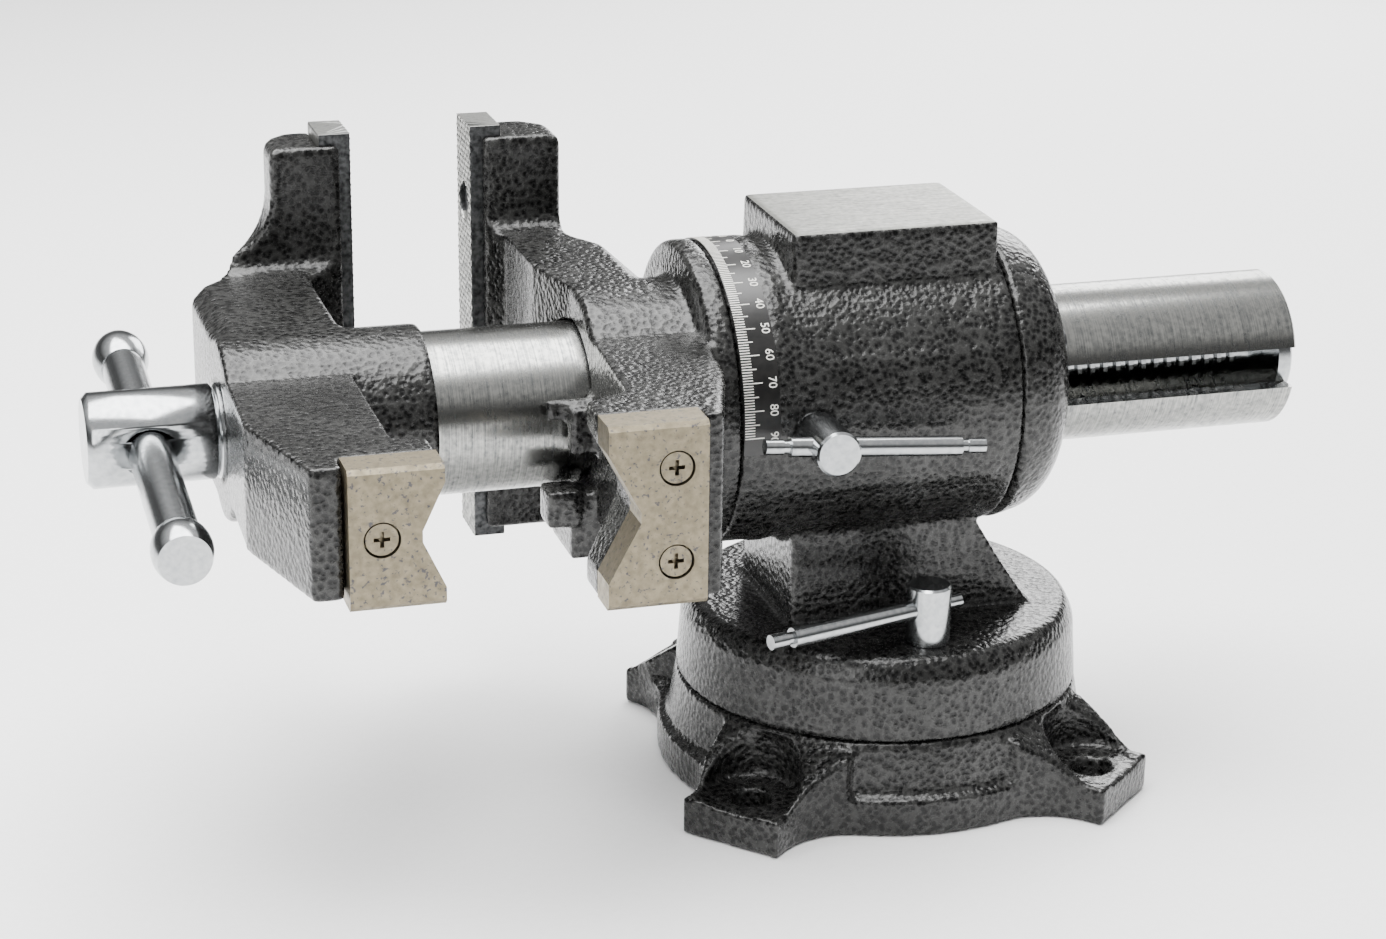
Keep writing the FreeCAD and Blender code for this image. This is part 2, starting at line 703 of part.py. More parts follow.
def fixed_jaw_cuts():
    """Seats and screw holes for both fixed jaw plates."""
    plate_back = jaw_face + plate_thickness
    cuts = [
        box(fixed_casting_face - cut_over, plate_back, plate_inner, jaw_casting_outer + cut_over,
            H - jaw_half_width, H + jaw_half_width),
        pipe_notch(fixed_pipe_left, 1, fixed_notch_height, fixed_notch_depth,
                   fixed_pipe_seat - cut_over, -hub_r, notch_relief),
    ]
    for height in screw_heights(plate_screw_pitch):
        cuts.append(cyl_x(flat_screw_r, plate_back - cut_over, jaw_face + flat_screw_length,
                          plate_screw_y(), H + height))
    for x, z in fixed_pipe_screw_places():
        cuts.append(cyl_y(pipe_screw_r, x, z, fixed_pipe_seat - cut_over,
                          -fixed_pipe_front + pipe_screw_length))
    return cuts


def screw_heights(pitch):
    """Heights of a pair of screws above the slide axis."""
    return [-pitch / 2, pitch / 2]


def plate_screw_y():
    """Middle of a flat jaw plate."""
    return (plate_inner + plate_outer) / 2


def fixed_pipe_screw_places():
    """Two screws in the plate's solid half, above and below the notch."""
    x = fixed_pipe_left + fixed_pipe_width - pipe_screw_inset
    return [(x, H + height) for height in screw_heights(fixed_pipe_screw_pitch)]


def moving_pipe_screw_places():
    """One screw on the slide axis, in the plate's solid half."""
    return [(moving_pipe_left + pipe_screw_inset, H)]


def head_casting():
    """Disc, shank, hub, both fixed arms and the lugs in one piece of iron."""
    core = turned_x([(hub_front, 0), (hub_front, hub_r - jaw_edge_r),
                     (hub_front + jaw_edge_r, hub_r), (disc_front, hub_r),
                     (disc_front, disc_r - head_face_bevel),
                     (disc_front + head_face_bevel, disc_r), (barrel_front, disc_r),
                     (barrel_front, shank_r), (barrel_rear, shank_r), (barrel_rear, 0)])
    solid = fuse([core, fixed_flat_arm(), fixed_pipe_arm()] + lugs())
    keyway = box(barrel_rear - keyway_length, barrel_rear + cut_over, -tube_r - keyway_depth, 0,
                 H - keyway_width / 2, H + keyway_width / 2)
    screw_holes = [cyl_x(cap_screw_r, barrel_rear - cap_screw_grip - cut_over,
                         barrel_rear + cut_over, y, z) for y, z in cap_screw_places()]
    bore = cyl_x(tube_r + running_fit, fixed_casting_face, barrel_rear + cut_over)
    return cut(solid, [bore, keyway] + screw_holes + fixed_jaw_cuts())


def cap_screw_places():
    """Three screws on a circle, clear of the keyway."""
    angles = [math.radians(a) for a in (30, 150, 270)]
    return [(cap_screw_circle_r * math.cos(a), H + cap_screw_circle_r * math.sin(a))
            for a in angles]


def rear_cap():
    """Domed cap that holds the head in the barrel; the tube slides through it."""
    mouth = tube_r + loose_fit
    solid = turned_x([(barrel_rear, mouth), (barrel_rear, barrel_r),
                      (barrel_rear + cap_straight, barrel_r),
                      (cap_rear - cap_corner_back, barrel_r - cap_corner_drop, cap_corner_r),
                      (cap_rear - cap_mouth_back, cap_mouth_r), (cap_rear, mouth + cap_lip),
                      (cap_rear, mouth)])
    cuts = []
    for y, z in cap_screw_places():
        cuts.append(cyl_x(cap_screw_r + loose_fit, barrel_rear - cut_over, cap_rear, y, z))
        cuts.append(cyl_x(cap_screw_head_r + loose_fit, cap_rear - cap_screw_sink,
                          cap_rear + cut_over, y, z))
    return cut(solid, cuts)


def cap_screws():
    """Socket-head screws of the rear cap."""
    screws = []
    for y, z in cap_screw_places():
        seat = cap_rear - cap_screw_sink + seat_gap
        top = seat + cap_screw_head_height
        body = cyl_x(cap_screw_r - seat_gap, barrel_rear - cap_screw_grip, seat, y, z)
        head = cyl_x(cap_screw_head_r, seat, top, y, z)
        socket = prism_x(hexagon(hex_key_r, y, z - H), top - recess_depth, top + cut_over)
        screws.append(fuse([body, head]).cut(socket))
    return screws


def hexagon(radius, a=0.0, b=0.0):
    """Six corners about a centre."""
    angles = [math.radians(60 * i) for i in range(6)]
    return [(a + radius * math.cos(t), b + radius * math.sin(t)) for t in angles]


# --------------------------------------------------------------------------------------------
# Jaw plates and their screws
# --------------------------------------------------------------------------------------------
def flat_plate(face_x, direction):
    """Hardened flat jaw plate; direction is +1 where the plate is on the +X side of its face."""
    back = face_x + direction * (plate_thickness - seat_gap)
    plate = box(min(face_x, back), max(face_x, back), plate_inner + seat_gap, plate_outer,
                H - jaw_half_width, H + jaw_half_width)
    along = Vector(direction, 0, 0)
    head_hole_r = flat_screw_head_r + screw_head_room
    stem_hole_r = flat_screw_r + screw_stem_room
    cone_start = flat_screw_sink + flat_screw_rim
    for height in screw_heights(plate_screw_pitch):
        centre = Vector(face_x, plate_screw_y(), H + height)
        well = Part.makeCylinder(head_hole_r, cone_start + cut_over, centre - along * cut_over,
                                 along)
        cone = Part.makeCone(head_hole_r, stem_hole_r, flat_screw_cone,
                             centre + along * cone_start, along)
        stem = Part.makeCylinder(stem_hole_r, plate_thickness + cut_over, centre, along)
        plate = cut(plate, [well, cone, stem])
    return plate


def flat_screws(face_x, direction):
    """Countersunk cross-head screws of a flat jaw plate."""
    along = Vector(direction, 0, 0)
    stem_r = flat_screw_r - seat_gap
    cone_end = flat_screw_sink + flat_screw_rim + flat_screw_cone
    screws = []
    for height in screw_heights(plate_screw_pitch):
        centre = Vector(face_x, plate_screw_y(), H + height)
        top = centre + along * flat_screw_sink
        rim = Part.makeCylinder(flat_screw_head_r, flat_screw_rim, top, along)
        cone = Part.makeCone(flat_screw_head_r, stem_r, flat_screw_cone,
                             top + along * flat_screw_rim, along)
        stem = Part.makeCylinder(stem_r, flat_screw_length - cone_end - break_edge,
                                 centre + along * cone_end, along)
        recess = cross_recess(top, along, flat_screw_head_r)
        screws.append(fuse([rim, cone, stem]).cut(recess))
    return screws


def cross_recess(centre, along, size):
    """Cross-shaped driver recess, sunk along a direction from a screw's face."""
    half, arm_half = size / 2, size / 8
    depth = recess_depth + cut_over
    arm = Part.makeBox(size, 2 * arm_half, depth, Vector(-half, -arm_half, -cut_over))
    other = Part.makeBox(2 * arm_half, size, depth, Vector(-arm_half, -half, -cut_over))
    cross = fuse([arm, other])
    cross.Placement = Placement(centre, Rotation(Vector(0, 0, 1), along))
    return cross


def pipe_plate(left, width, height, front, notch, screw_places):
    """Hardened pipe jaw plate with a V notch down one edge; notch is pipe_notch's first four."""
    half = height / 2
    seat = -front + pipe_plate_thickness
    plate = prism_y([(left, half), (left + width, half), (left + width, -half), (left, -half)],
                    -front, seat - seat_gap)
    plate = plate.makeChamfer(pipe_plate_bevel,
                              [edge for edge in plate.Edges if is_front_end(edge, front)])
    cuts = [pipe_notch(*notch, -front - cut_over, seat + cut_over)]
    for x, z in screw_places:
        cuts.append(cyl_y(pipe_screw_well_r, x, z, -front - cut_over, -front + pipe_screw_seat))
        cuts.append(cyl_y(pipe_screw_r + screw_stem_room, x, z, -front, seat + cut_over))
    return cut(plate, cuts)


def is_front_end(edge, front):
    """Top and bottom edges of a pipe plate's face."""
    span = edge.BoundBox
    return span.YMax < -front + seat_gap and span.ZLength < seat_gap


def pipe_screws(front, screw_places):
    """Cheese-head cross screws of a pipe plate."""
    top = -front + pipe_screw_sink
    seat = -front + pipe_screw_seat
    screws = []
    for x, z in screw_places:
        head = cyl_y(pipe_screw_head_r, x, z, top, seat - seat_gap)
        stem = cyl_y(pipe_screw_r - seat_gap, x, z, seat - cut_over,
                     -front + pipe_screw_length - cut_over)
        cross = cross_recess(Vector(x, top, z), Vector(0, 1, 0), pipe_screw_head_r)
        screws.append(fuse([head, stem]).cut(cross))
    return screws


# --------------------------------------------------------------------------------------------
# Moving jaw
# --------------------------------------------------------------------------------------------
def moving_flat_arm():
    """Arm of the moving flat jaw, from the hub out to the jaw."""
    face = moving_casting_face
    back = face - moving_jaw_back
    neck = moving_hub_front
    rear = face - moving_neck_thickness
    side = prism_y(mirrored_heights([
        (neck, moving_hub_r - moving_arm_waist),
        (back, moving_hub_r + moving_back_swell, moving_back_r),
        (back, jaw_casting_half, jaw_end_r), (face, jaw_casting_half, jaw_edge_r)]),
        -arm_root, jaw_casting_outer)
    front = prism_x(mirrored_heights([
        (-arm_root, moving_hub_r), (jaw_casting_inner, moving_hub_r, jaw_root_r),
        (jaw_casting_inner, jaw_casting_half, jaw_edge_r),
        (jaw_casting_outer, jaw_casting_half, jaw_edge_r)]), neck, face)
    plan = prism_z([
        (neck, -arm_root), (neck, moving_neck_end, neck_bend_r),
        (back, jaw_casting_outer - jaw_corner), (back + jaw_corner, jaw_casting_outer),
        (face, jaw_casting_outer), (face, jaw_casting_inner),
        (rear, jaw_casting_inner - fixed_neck_bend), (rear, -arm_root)],
        H - jaw_half_width, H + jaw_half_width)
    return common([side, front, plan])


def moving_pipe_arm():
    """Arm of the moving pipe jaw; its underside stops a little above the plate's."""
    half = moving_pipe_height / 2
    right = moving_pipe_left + moving_pipe_width
    left = moving_hub_front
    edge = moving_pipe_left - plate_edge_gap
    rib_y = -moving_pipe_front + moving_rib_back
    waist = right - moving_pipe_waist
    return prism_z([
        (left, 0), (left, -spindle_head_r - moving_arm_waist),
        (left - cut_over, -moving_pipe_neck), (moving_pipe_left - moving_rib, rib_y),
        (edge, rib_y), (edge, moving_pipe_seat), (right, moving_pipe_seat),
        (right, moving_pipe_seat + moving_pipe_waist),
        (waist, moving_pipe_seat + pipe_cheek, jaw_end_r), (waist, 0)],
        H - half + moving_arm_rise, H + half)


def moving_jaw_cuts():
    """Bore, spot face, collar pocket, plate seats and screw holes of the moving jaw."""
    plate_back = moving_jaw_face - plate_thickness
    right = moving_pipe_left + moving_pipe_width
    cuts = [
        cyl_x(tube_r + seat_gap, tube_front, moving_hub_rear + cut_over),
        cyl_x(tube_bore_r, collar_pocket, tube_front + cut_over),
        cyl_x(journal_r + running_fit, moving_hub_front - cut_over, collar_pocket + cut_over),
        cyl_x(spindle_head_r + hub_spot_room, moving_hub_front - cut_over, spot_face),
        box(plate_back, moving_casting_face + cut_over, plate_inner,
            jaw_casting_outer + cut_over, H - jaw_half_width, H + jaw_half_width),
        pipe_notch(right, -1, moving_notch_height, moving_notch_depth,
                   moving_pipe_seat - cut_over, -moving_pipe_neck, notch_relief),
    ]
    for height in screw_heights(plate_screw_pitch):
        cuts.append(cyl_x(flat_screw_r, moving_jaw_face - flat_screw_length,
                          plate_back + cut_over, plate_screw_y(), H + height))
    for x, z in moving_pipe_screw_places():
        cuts.append(cyl_y(pipe_screw_r, x, z, moving_pipe_seat - cut_over,
                          -moving_pipe_front + pipe_screw_length))
    return cuts + grub_holes()


def grub_screw_places():
    """Two grub screws under the hub, along the part of the tube that it grips."""
    grip = moving_hub_rear - tube_front
    return [tube_front + grip * share for share in grub_shares]


def grub_holes():
    """Holes of the grub screws through the hub's underside and the tube's wall."""
    return [cyl_z(grub_r, x, 0, H - moving_hub_r - cut_over, H - tube_bore_r)
            for x in grub_screw_places()]


def moving_jaw_casting():
    """Hub, sleeve and both moving arms in one piece of iron."""
    hub = turned_x([(moving_hub_front, 0), (moving_hub_front, moving_hub_r - break_edge),
                    (moving_hub_front + break_edge, moving_hub_r),
                    (moving_hub_rear - break_edge, moving_hub_r),
                    (moving_hub_rear, moving_hub_r - break_edge), (moving_hub_rear, 0)])
    solid = fuse([hub, moving_flat_arm(), moving_pipe_arm()])
    return cut(solid, moving_jaw_cuts())


def slide_tube():
    """Steel tube that carries the moving jaw; its side slot lets the nut's key through."""
    tube = turned_x([(tube_front, tube_bore_r), (tube_front, tube_r),
                     (tube_rear - break_edge, tube_r), (tube_rear, tube_r - break_edge),
                     (tube_rear, tube_bore_r)])
    slot = box(slot_front, tube_rear + cut_over, -tube_r - cut_over, 0, H - slot_width / 2,
               H + slot_width / 2)
    return cut(tube, [slot] + grub_holes())


def tube_grub_screws():
    """Grub screws that fix the tube in the moving hub."""
    low = H - moving_hub_r + break_edge
    high = H - tube_bore_r - break_edge
    screws = []
    for x in grub_screw_places():
        body = cyl_z(grub_r - seat_gap, x, 0, low, high)
        slot = box(x - grub_r, x + grub_r, -break_edge, break_edge, low - cut_over,
                   low + cut_over)
        screws.append(body.cut(slot))
    return screws


def tube_end_disc():
    """Bright disc in the tube's rear end that steadies the spindle's tail."""
    hole_r = tail_journal_r + running_fit
    rim_r = tube_bore_r - seat_gap
    rear = tube_rear + tail_disc_proud
    return turned_x([(tail_disc_front, hole_r), (tail_disc_front, rim_r),
                     (rear - tail_disc_bevel, rim_r), (rear, rim_r - tail_disc_bevel),
                     (rear, hole_r)])


# --------------------------------------------------------------------------------------------
# Spindle
# --------------------------------------------------------------------------------------------
def lead_screw():
    """Spindle: cross-drilled head, plain journal, thread at its full diameter, and tail."""
    head_front = spindle_head_rear - spindle_head_length
    journal_end = collar_front + collar_thickness
    tail_end = tube_rear + spindle_tail
    profile = [(head_front, 0), (head_front, spindle_head_r - spindle_head_bevel),
               (head_front + spindle_head_bevel, spindle_head_r),
               (spindle_head_rear - break_edge, spindle_head_r),
               (spindle_head_rear, spindle_head_r - break_edge),
               (spindle_head_rear, journal_r), (journal_end, journal_r),
               (journal_end + journal_r - screw_r, screw_r), (screw_rear, screw_r),
               (tail_disc_front - loose_fit, tail_journal_r),
               (tail_end - break_edge, tail_journal_r), (tail_end, tail_journal_r - break_edge),
               (tail_end, 0)]
    hole_r = handle_r + handle_hole_room
    bar_hole = cyl_y(hole_r, handle_x, H, -spindle_head_r - cut_over,
                     spindle_head_r + cut_over)
    mouths = [Part.makeCone(hole_r + handle_hole_flare, hole_r, 2 * cut_over,
                            Vector(handle_x, side * (spindle_head_r - break_edge), H),
                            Vector(0, -side, 0)) for side in (-1, 1)]
    pin_hole = cyl_z(collar_pin_r, collar_pin_x, 0, H - journal_r - cut_over,
                     H + journal_r + cut_over)
    tilted = [tilt_handle(shape) for shape in [bar_hole] + mouths]
    return cut(turned_x(profile), tilted + [pin_hole])


def tilt_handle(shape):
    """Turn a shape about the spindle axis by the handle's tilt at rest."""
    return spun(shape, handle_tilt, Vector(handle_x, 0, H), Vector(1, 0, 0))


def thrust_washer():
    """Ring between the spindle's head and the moving jaw."""
    hole_r = journal_r + running_fit
    rear = spot_face - running_fit
    return turned_x([(thrust_front, hole_r), (thrust_front, spindle_head_r - break_edge),
                     (thrust_front + break_edge, spindle_head_r), (rear, spindle_head_r),
                     (rear, hole_r)])


def retaining_collar():
    """Collar pinned to the spindle inside the hub, which draws the jaw open."""
    rear = collar_front + collar_thickness
    ring = turned_x([(collar_front, journal_r + seat_gap), (collar_front, collar_r),
                     (rear, collar_r), (rear, journal_r + seat_gap)])
    return ring.cut(cyl_z(collar_pin_r, collar_pin_x, 0, H - collar_r - cut_over,
                          H + collar_r + cut_over))


def collar_pin():
    """Pin through the collar and the spindle."""
    half = collar_r - break_edge
    return cyl_z(collar_pin_r - seat_gap, collar_pin_x, 0, H - half, H + half)


def spindle_nut():
    """Nut inside the tube, with a key that reaches through the slot into the head."""
    rear = barrel_rear - seat_gap
    front = rear - nut_length
    half = slot_width / 2 - key_room
    nut = cyl_x(tube_bore_r - groove_gap, front, rear)
    key = box(rear - keyway_length + nut_key_setback, rear, -tube_r - keyway_depth + seat_gap,
              -screw_r, H - half, H + half)
    bore = cyl_x(screw_r + running_fit, front - cut_over, rear + cut_over)
    return fuse([nut, key]).cut(bore)


def handle_bar():
    """Sliding bar through the spindle's head, turned down inside each knob."""
    low = handle_offset - handle_length / 2
    high = handle_offset + handle_length / 2
    shoulder = knob_length - cut_over
    end_gap = 2 * cut_over
    bar = cyl_y(handle_r, handle_x, H, low + shoulder, high - shoulder)
    tip = cyl_y(handle_tip_r, handle_x, H, low + end_gap, high - end_gap)
    return tilt_handle(fuse([bar, tip]))


def handle_knob(outward):
    """Bulged end stop pressed on the bar; outward is -1 or +1 along the bar."""
    end = handle_offset + outward * handle_length / 2
    base = end - outward * knob_length
    span = end - base

    def place(share, radius):
        return Vector(handle_x + radius, base + span * share, H)

    rim_r = handle_r + knob_neck
    flat_r = knob_r - knob_end_step
    arc = Part.Arc(place(0, rim_r), place(knob_crown, knob_r), place(1, flat_r)).toShape()
    edges = [
        Part.LineSegment(place(0, 0), place(0, rim_r)).toShape(),
        arc,
        Part.LineSegment(place(1, flat_r), place(1, 0)).toShape(),
        Part.LineSegment(place(1, 0), place(0, 0)).toShape(),
    ]
    knob = Part.Face(Part.Wire(edges)).revolve(Vector(handle_x, 0, H), Vector(0, 1, 0), 360)
    tip_near, tip_far = sorted([base - outward * cut_over, end - outward * 2 * cut_over])
    tip = cyl_y(handle_tip_r + seat_gap, handle_x, H, tip_near, tip_far)
    seat_near, seat_far = sorted([base - outward * cut_over, base + outward * cut_over])
    seat = cyl_y(handle_r + seat_gap, handle_x, H, seat_near, seat_far)
    return tilt_handle(knob.cut(tip).cut(seat))


# --------------------------------------------------------------------------------------------
# Locks and pivot
# --------------------------------------------------------------------------------------------
def lock_bar(left, right):
    """T-bar of a lock along X about its bolt, with a waisted tip at each end."""
    tip = lock_neck_length + lock_stub_length
    start, end = -left, right
    spans = [
        (lock_bar_r, start + tip, end - tip),
        (lock_neck_r, start + cut_over, end - cut_over),
        (lock_stub_r, start, start + lock_stub_length),
        (lock_stub_r, end - lock_stub_length, end),
    ]
    return fuse([cyl_x(radius, x0, x1, 0, 0) for radius, x0, x1 in spans])


def lock_bar_hole():
    """Cross hole of a lock bolt, along X about its middle."""
    half = 2 * lock_head_r
    return cyl_x(lock_bar_r + running_fit, -half, half, 0, 0)


def place_head_lock(shape):
    """Put a shape made about the origin on the head lock's cross hole."""
    shape.rotate(Vector(0, 0, 0), Vector(0, 1, 0), head_lock_bar_tilt)
    shape.translate(Vector(head_lock_x, head_lock_bar_y, H))
    return shape


def place_swivel_lock(shape):
    """Put a shape made about the origin on the swivel lock's cross hole."""
    shape.rotate(Vector(0, 0, 0), Vector(0, 0, 1), swivel_lock_bar_angle)
    shape.translate(Vector(0, -swivel_lock_radius, turntable_top + swivel_lock_bar_height))
    return shape


def head_lock_bolt():
    """Bolt that presses the lock pad against the head's shank."""
    seat = -barrel_r - pad_rise - lock_boss_gap
    head = cyl_y(lock_head_r, head_lock_x, H, -head_lock_reach, seat)
    rim = [edge for edge in head.Edges if edge.BoundBox.YMax < -head_lock_reach + seat_gap]
    head = head.makeChamfer(break_edge, rim)
    stem = cyl_y(lock_thread_r, head_lock_x, H, seat, -shank_r - pad_thickness)
    return fuse([head, stem]).cut(place_head_lock(lock_bar_hole()))


def head_lock_bar():
    """T-bar of the head lock."""
    return place_head_lock(lock_bar(head_lock_bar_left, head_lock_bar_right))


def head_lock_pad():
    """Soft slug between the lock bolt and the shank."""
    slug = cyl_y(lock_thread_r - running_fit, head_lock_x, H,
                 -shank_r - pad_thickness + seat_gap, -shank_r + cut_over)
    shank = cyl_x(shank_r + running_fit, head_lock_x - lock_head_r, head_lock_x + lock_head_r)
    return slug.cut(shank)


def swivel_lock_bolt():
    """Upright bolt that draws the clamp block up under the base's ring slot."""
    top = turntable_top + swivel_lock_head
    head = cyl_z(lock_head_r, 0, -swivel_lock_radius, turntable_top, top)
    rim = [edge for edge in head.Edges if edge.BoundBox.ZMin > top - seat_gap]
    head = head.makeChamfer(break_edge, rim)
    stem = cyl_z(lock_thread_r, 0, -swivel_lock_radius, slot_floor + swivel_stem_floor,
                 turntable_top)
    return fuse([head, stem]).cut(place_swivel_lock(lock_bar_hole()))


def swivel_lock_bar():
    """T-bar of the swivel lock."""
    return place_swivel_lock(lock_bar(swivel_lock_bar_short, swivel_lock_bar_long))


def swivel_clamp_block():
    """Threaded block that rides in the base's ring slot."""
    half = clamp_size / 2
    top = clamp_shoulder - clamp_drop
    block = box(-half, half, -swivel_lock_radius - half, -swivel_lock_radius + half,
                top - clamp_height, top)
    return block.cut(cyl_z(lock_thread_r + running_fit, 0, -swivel_lock_radius, 0,
                           clamp_shoulder))


def pivot_bolt():
    """Bolt that holds the turntable down on the base, screwed into it from below."""
    head_top = base_height - pivot_web - pivot_washer_thickness - running_fit
    thread_top = base_height + pivot_boss_depth - 2 * cut_over
    head = prism_z(hexagon(pivot_head_r), head_top - pivot_head_height, head_top)
    stem = cyl_z(pivot_bolt_r, 0, 0, head_top, base_height)
    thread = cyl_z(pivot_bolt_r - seat_gap, 0, 0, base_height, thread_top)
    return fuse([head, stem, thread])


def pivot_washer():
    """Washer under the pivot bolt's head."""
    top = base_height - pivot_web - running_fit
    ring = cyl_z(pivot_washer_r, 0, 0, top - pivot_washer_thickness, top)
    return ring.cut(cyl_z(pivot_bolt_r + running_fit, 0, 0, 0, base_height))


# --------------------------------------------------------------------------------------------
# Build
# --------------------------------------------------------------------------------------------
save("base_casting", [base_casting()])
save("body_casting", [body_casting()])
save("dial_strip", [dial_strip()])
save("head_casting", [head_casting()])
save("rear_cap", [rear_cap()])
save("rear_cap_screws", cap_screws())
save("fixed_jaw_plate", [flat_plate(jaw_face, 1)])
save("fixed_jaw_plate_screws", flat_screws(jaw_face, 1))
fixed_notch = (fixed_pipe_left, 1, fixed_notch_height, fixed_notch_depth)
save("fixed_pipe_plate", [pipe_plate(
    fixed_pipe_left, fixed_pipe_width, fixed_pipe_height, fixed_pipe_front, fixed_notch,
    fixed_pipe_screw_places())])
save("fixed_pipe_plate_screws", pipe_screws(fixed_pipe_front, fixed_pipe_screw_places()))
save("spindle_nut", [spindle_nut()])
save("moving_jaw_casting", [moving_jaw_casting()])
save("moving_jaw_plate", [flat_plate(moving_jaw_face, -1)])
save("moving_jaw_plate_screws", flat_screws(moving_jaw_face, -1))
moving_notch = (moving_pipe_left + moving_pipe_width, -1, moving_notch_height,
                moving_notch_depth)
save("moving_pipe_plate", [pipe_plate(
    moving_pipe_left, moving_pipe_width, moving_pipe_height, moving_pipe_front, moving_notch,
    moving_pipe_screw_places())])
save("moving_pipe_plate_screw", pipe_screws(moving_pipe_front, moving_pipe_screw_places()))
save("slide_tube", [slide_tube()])
save("tube_grub_screws", tube_grub_screws())
save("tube_end_disc", [tube_end_disc()])
save("lead_screw", [lead_screw()])
save("thrust_washer", [thrust_washer()])
save("retaining_collar", [retaining_collar()])
save("collar_pin", [collar_pin()])
save("handle_bar", [handle_bar()])
save("handle_knob_near", [handle_knob(-1)])
save("handle_knob_far", [handle_knob(1)])
save("head_lock_bolt", [head_lock_bolt()])
save("head_lock_bar", [head_lock_bar()])
save("head_lock_pad", [head_lock_pad()])
save("swivel_lock_bolt", [swivel_lock_bolt()])
save("swivel_lock_bar", [swivel_lock_bar()])
save("swivel_clamp_block", [swivel_clamp_block()])
save("pivot_bolt", [pivot_bolt()])
save("pivot_washer", [pivot_washer()])
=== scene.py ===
# %% [markdown]
# # A bench vise in cells
# The vise is cast iron, painted, with a bright steel tube that slides through it. The packed
# model already holds every part at its real size. These cells give each part the surface of
# the real one: soft cast edges, ground steel, turned steel, and a pale studio to see them in.

# %% Load the frame
import math

import bmesh
import bpy
import numpy as np
from mathutils import Matrix, Vector


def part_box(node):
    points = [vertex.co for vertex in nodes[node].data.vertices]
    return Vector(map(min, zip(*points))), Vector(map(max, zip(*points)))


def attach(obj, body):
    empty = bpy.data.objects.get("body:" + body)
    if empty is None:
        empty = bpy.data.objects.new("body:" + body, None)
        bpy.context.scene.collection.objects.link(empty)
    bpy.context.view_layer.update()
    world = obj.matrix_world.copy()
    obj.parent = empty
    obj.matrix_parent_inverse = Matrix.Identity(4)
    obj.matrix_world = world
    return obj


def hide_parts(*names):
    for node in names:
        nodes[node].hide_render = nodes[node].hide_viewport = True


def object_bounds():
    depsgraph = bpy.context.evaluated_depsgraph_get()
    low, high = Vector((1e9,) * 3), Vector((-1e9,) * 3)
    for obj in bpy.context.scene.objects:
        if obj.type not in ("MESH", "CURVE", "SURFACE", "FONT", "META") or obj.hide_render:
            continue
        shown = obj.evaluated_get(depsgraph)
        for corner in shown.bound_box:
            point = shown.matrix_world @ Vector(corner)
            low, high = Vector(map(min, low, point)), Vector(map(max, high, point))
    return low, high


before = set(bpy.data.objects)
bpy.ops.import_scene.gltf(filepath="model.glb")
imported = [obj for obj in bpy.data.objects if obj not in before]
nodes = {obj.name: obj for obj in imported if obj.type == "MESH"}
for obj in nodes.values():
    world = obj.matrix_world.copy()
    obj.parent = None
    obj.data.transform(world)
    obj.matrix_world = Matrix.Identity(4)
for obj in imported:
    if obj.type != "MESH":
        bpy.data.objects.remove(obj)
cad_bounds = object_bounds()
MM = 0.001

# %% [markdown]
# ## Camera
# A long lens a little under a metre away keeps the jaws nearly parallel. The camera is built from a compass
# heading and a tilt, because those are easier to picture than a matrix.

# %% Camera
CAMERA_PLACE = Vector((-0.29302, -0.78867, 0.38487))
HEADING, TILT, ROLL = math.radians(16.42), math.radians(-19.61), math.radians(0.6)
forward = Vector((math.sin(HEADING) * math.cos(TILT), math.cos(HEADING) * math.cos(TILT),
                  math.sin(TILT)))
level = Vector((math.cos(HEADING), -math.sin(HEADING), 0))
above = level.cross(forward)
right = level * math.cos(ROLL) + above * math.sin(ROLL)
up = above * math.cos(ROLL) - level * math.sin(ROLL)
lens = bpy.data.cameras.new("camera")
lens.sensor_width = 36.0
lens.lens = 80.0
lens.shift_x = 0.00974
lens.shift_y = -0.00087
lens.clip_start = 0.01
camera = bpy.data.objects.new("camera", lens)
camera.matrix_world = (Matrix.Translation(CAMERA_PLACE)
                       @ Matrix((right, up, -forward)).transposed().to_4x4())
bpy.context.scene.collection.objects.link(camera)
bpy.context.scene.camera = camera
print("camera at", tuple(CAMERA_PLACE))

# %% [markdown]
# ## Two helpers for materials
# Colours are given as sRGB hex values, but shaders work in linear light, so one
# function converts them. A second one adds a node with its settings and its links.

# %% Colour and node helpers
def colour(code):
    """Linear RGBA of an sRGB hex value."""
    channels = [int(code[i:i + 2], 16) / 255 for i in (1, 3, 5)]
    return [c / 12.92 if c <= 0.04045 else ((c + 0.055) / 1.055) ** 2.4 for c in channels] + [1]


def add(tree, kind, settings=None, **inputs):
    """A node of that kind; an input is a value or another node's output socket."""
    node = tree.nodes.new(kind)
    for name, value in (settings or {}).items():
        setattr(node, name, value)
    for name, value in inputs.items():
        socket = node.inputs[int(name[1:]) if name[1:].isdigit() else name.replace("_", " ")]
        if isinstance(value, bpy.types.NodeSocket):
            tree.links.new(value, socket)
        else:
            socket.default_value = value
    return node


def start_material(name):
    """An empty material, its node tree, and object coordinates in metres."""
    material = bpy.data.materials.new(name)
    material.use_nodes = True
    tree = material.node_tree
    tree.nodes.clear()
    place = add(tree, "ShaderNodeTexCoord").outputs["Object"]
    return material, tree, place


def close_material(tree, shader):
    """Joins the shader to the surface."""
    add(tree, "ShaderNodeOutputMaterial", Surface=shader.outputs[0])


def ramp(tree, factor, *stops):
    """A colour ramp with a stop for each (position, hex or grey)."""
    node = add(tree, "ShaderNodeValToRGB", Fac=factor)
    points = node.color_ramp.elements
    while len(points) < len(stops):
        points.new(0.5)
    for point, (position, value) in zip(points, stops):
        point.position = position
        point.color = colour(value) if isinstance(value, str) else [value] * 3 + [1]
    return node.outputs["Color"]


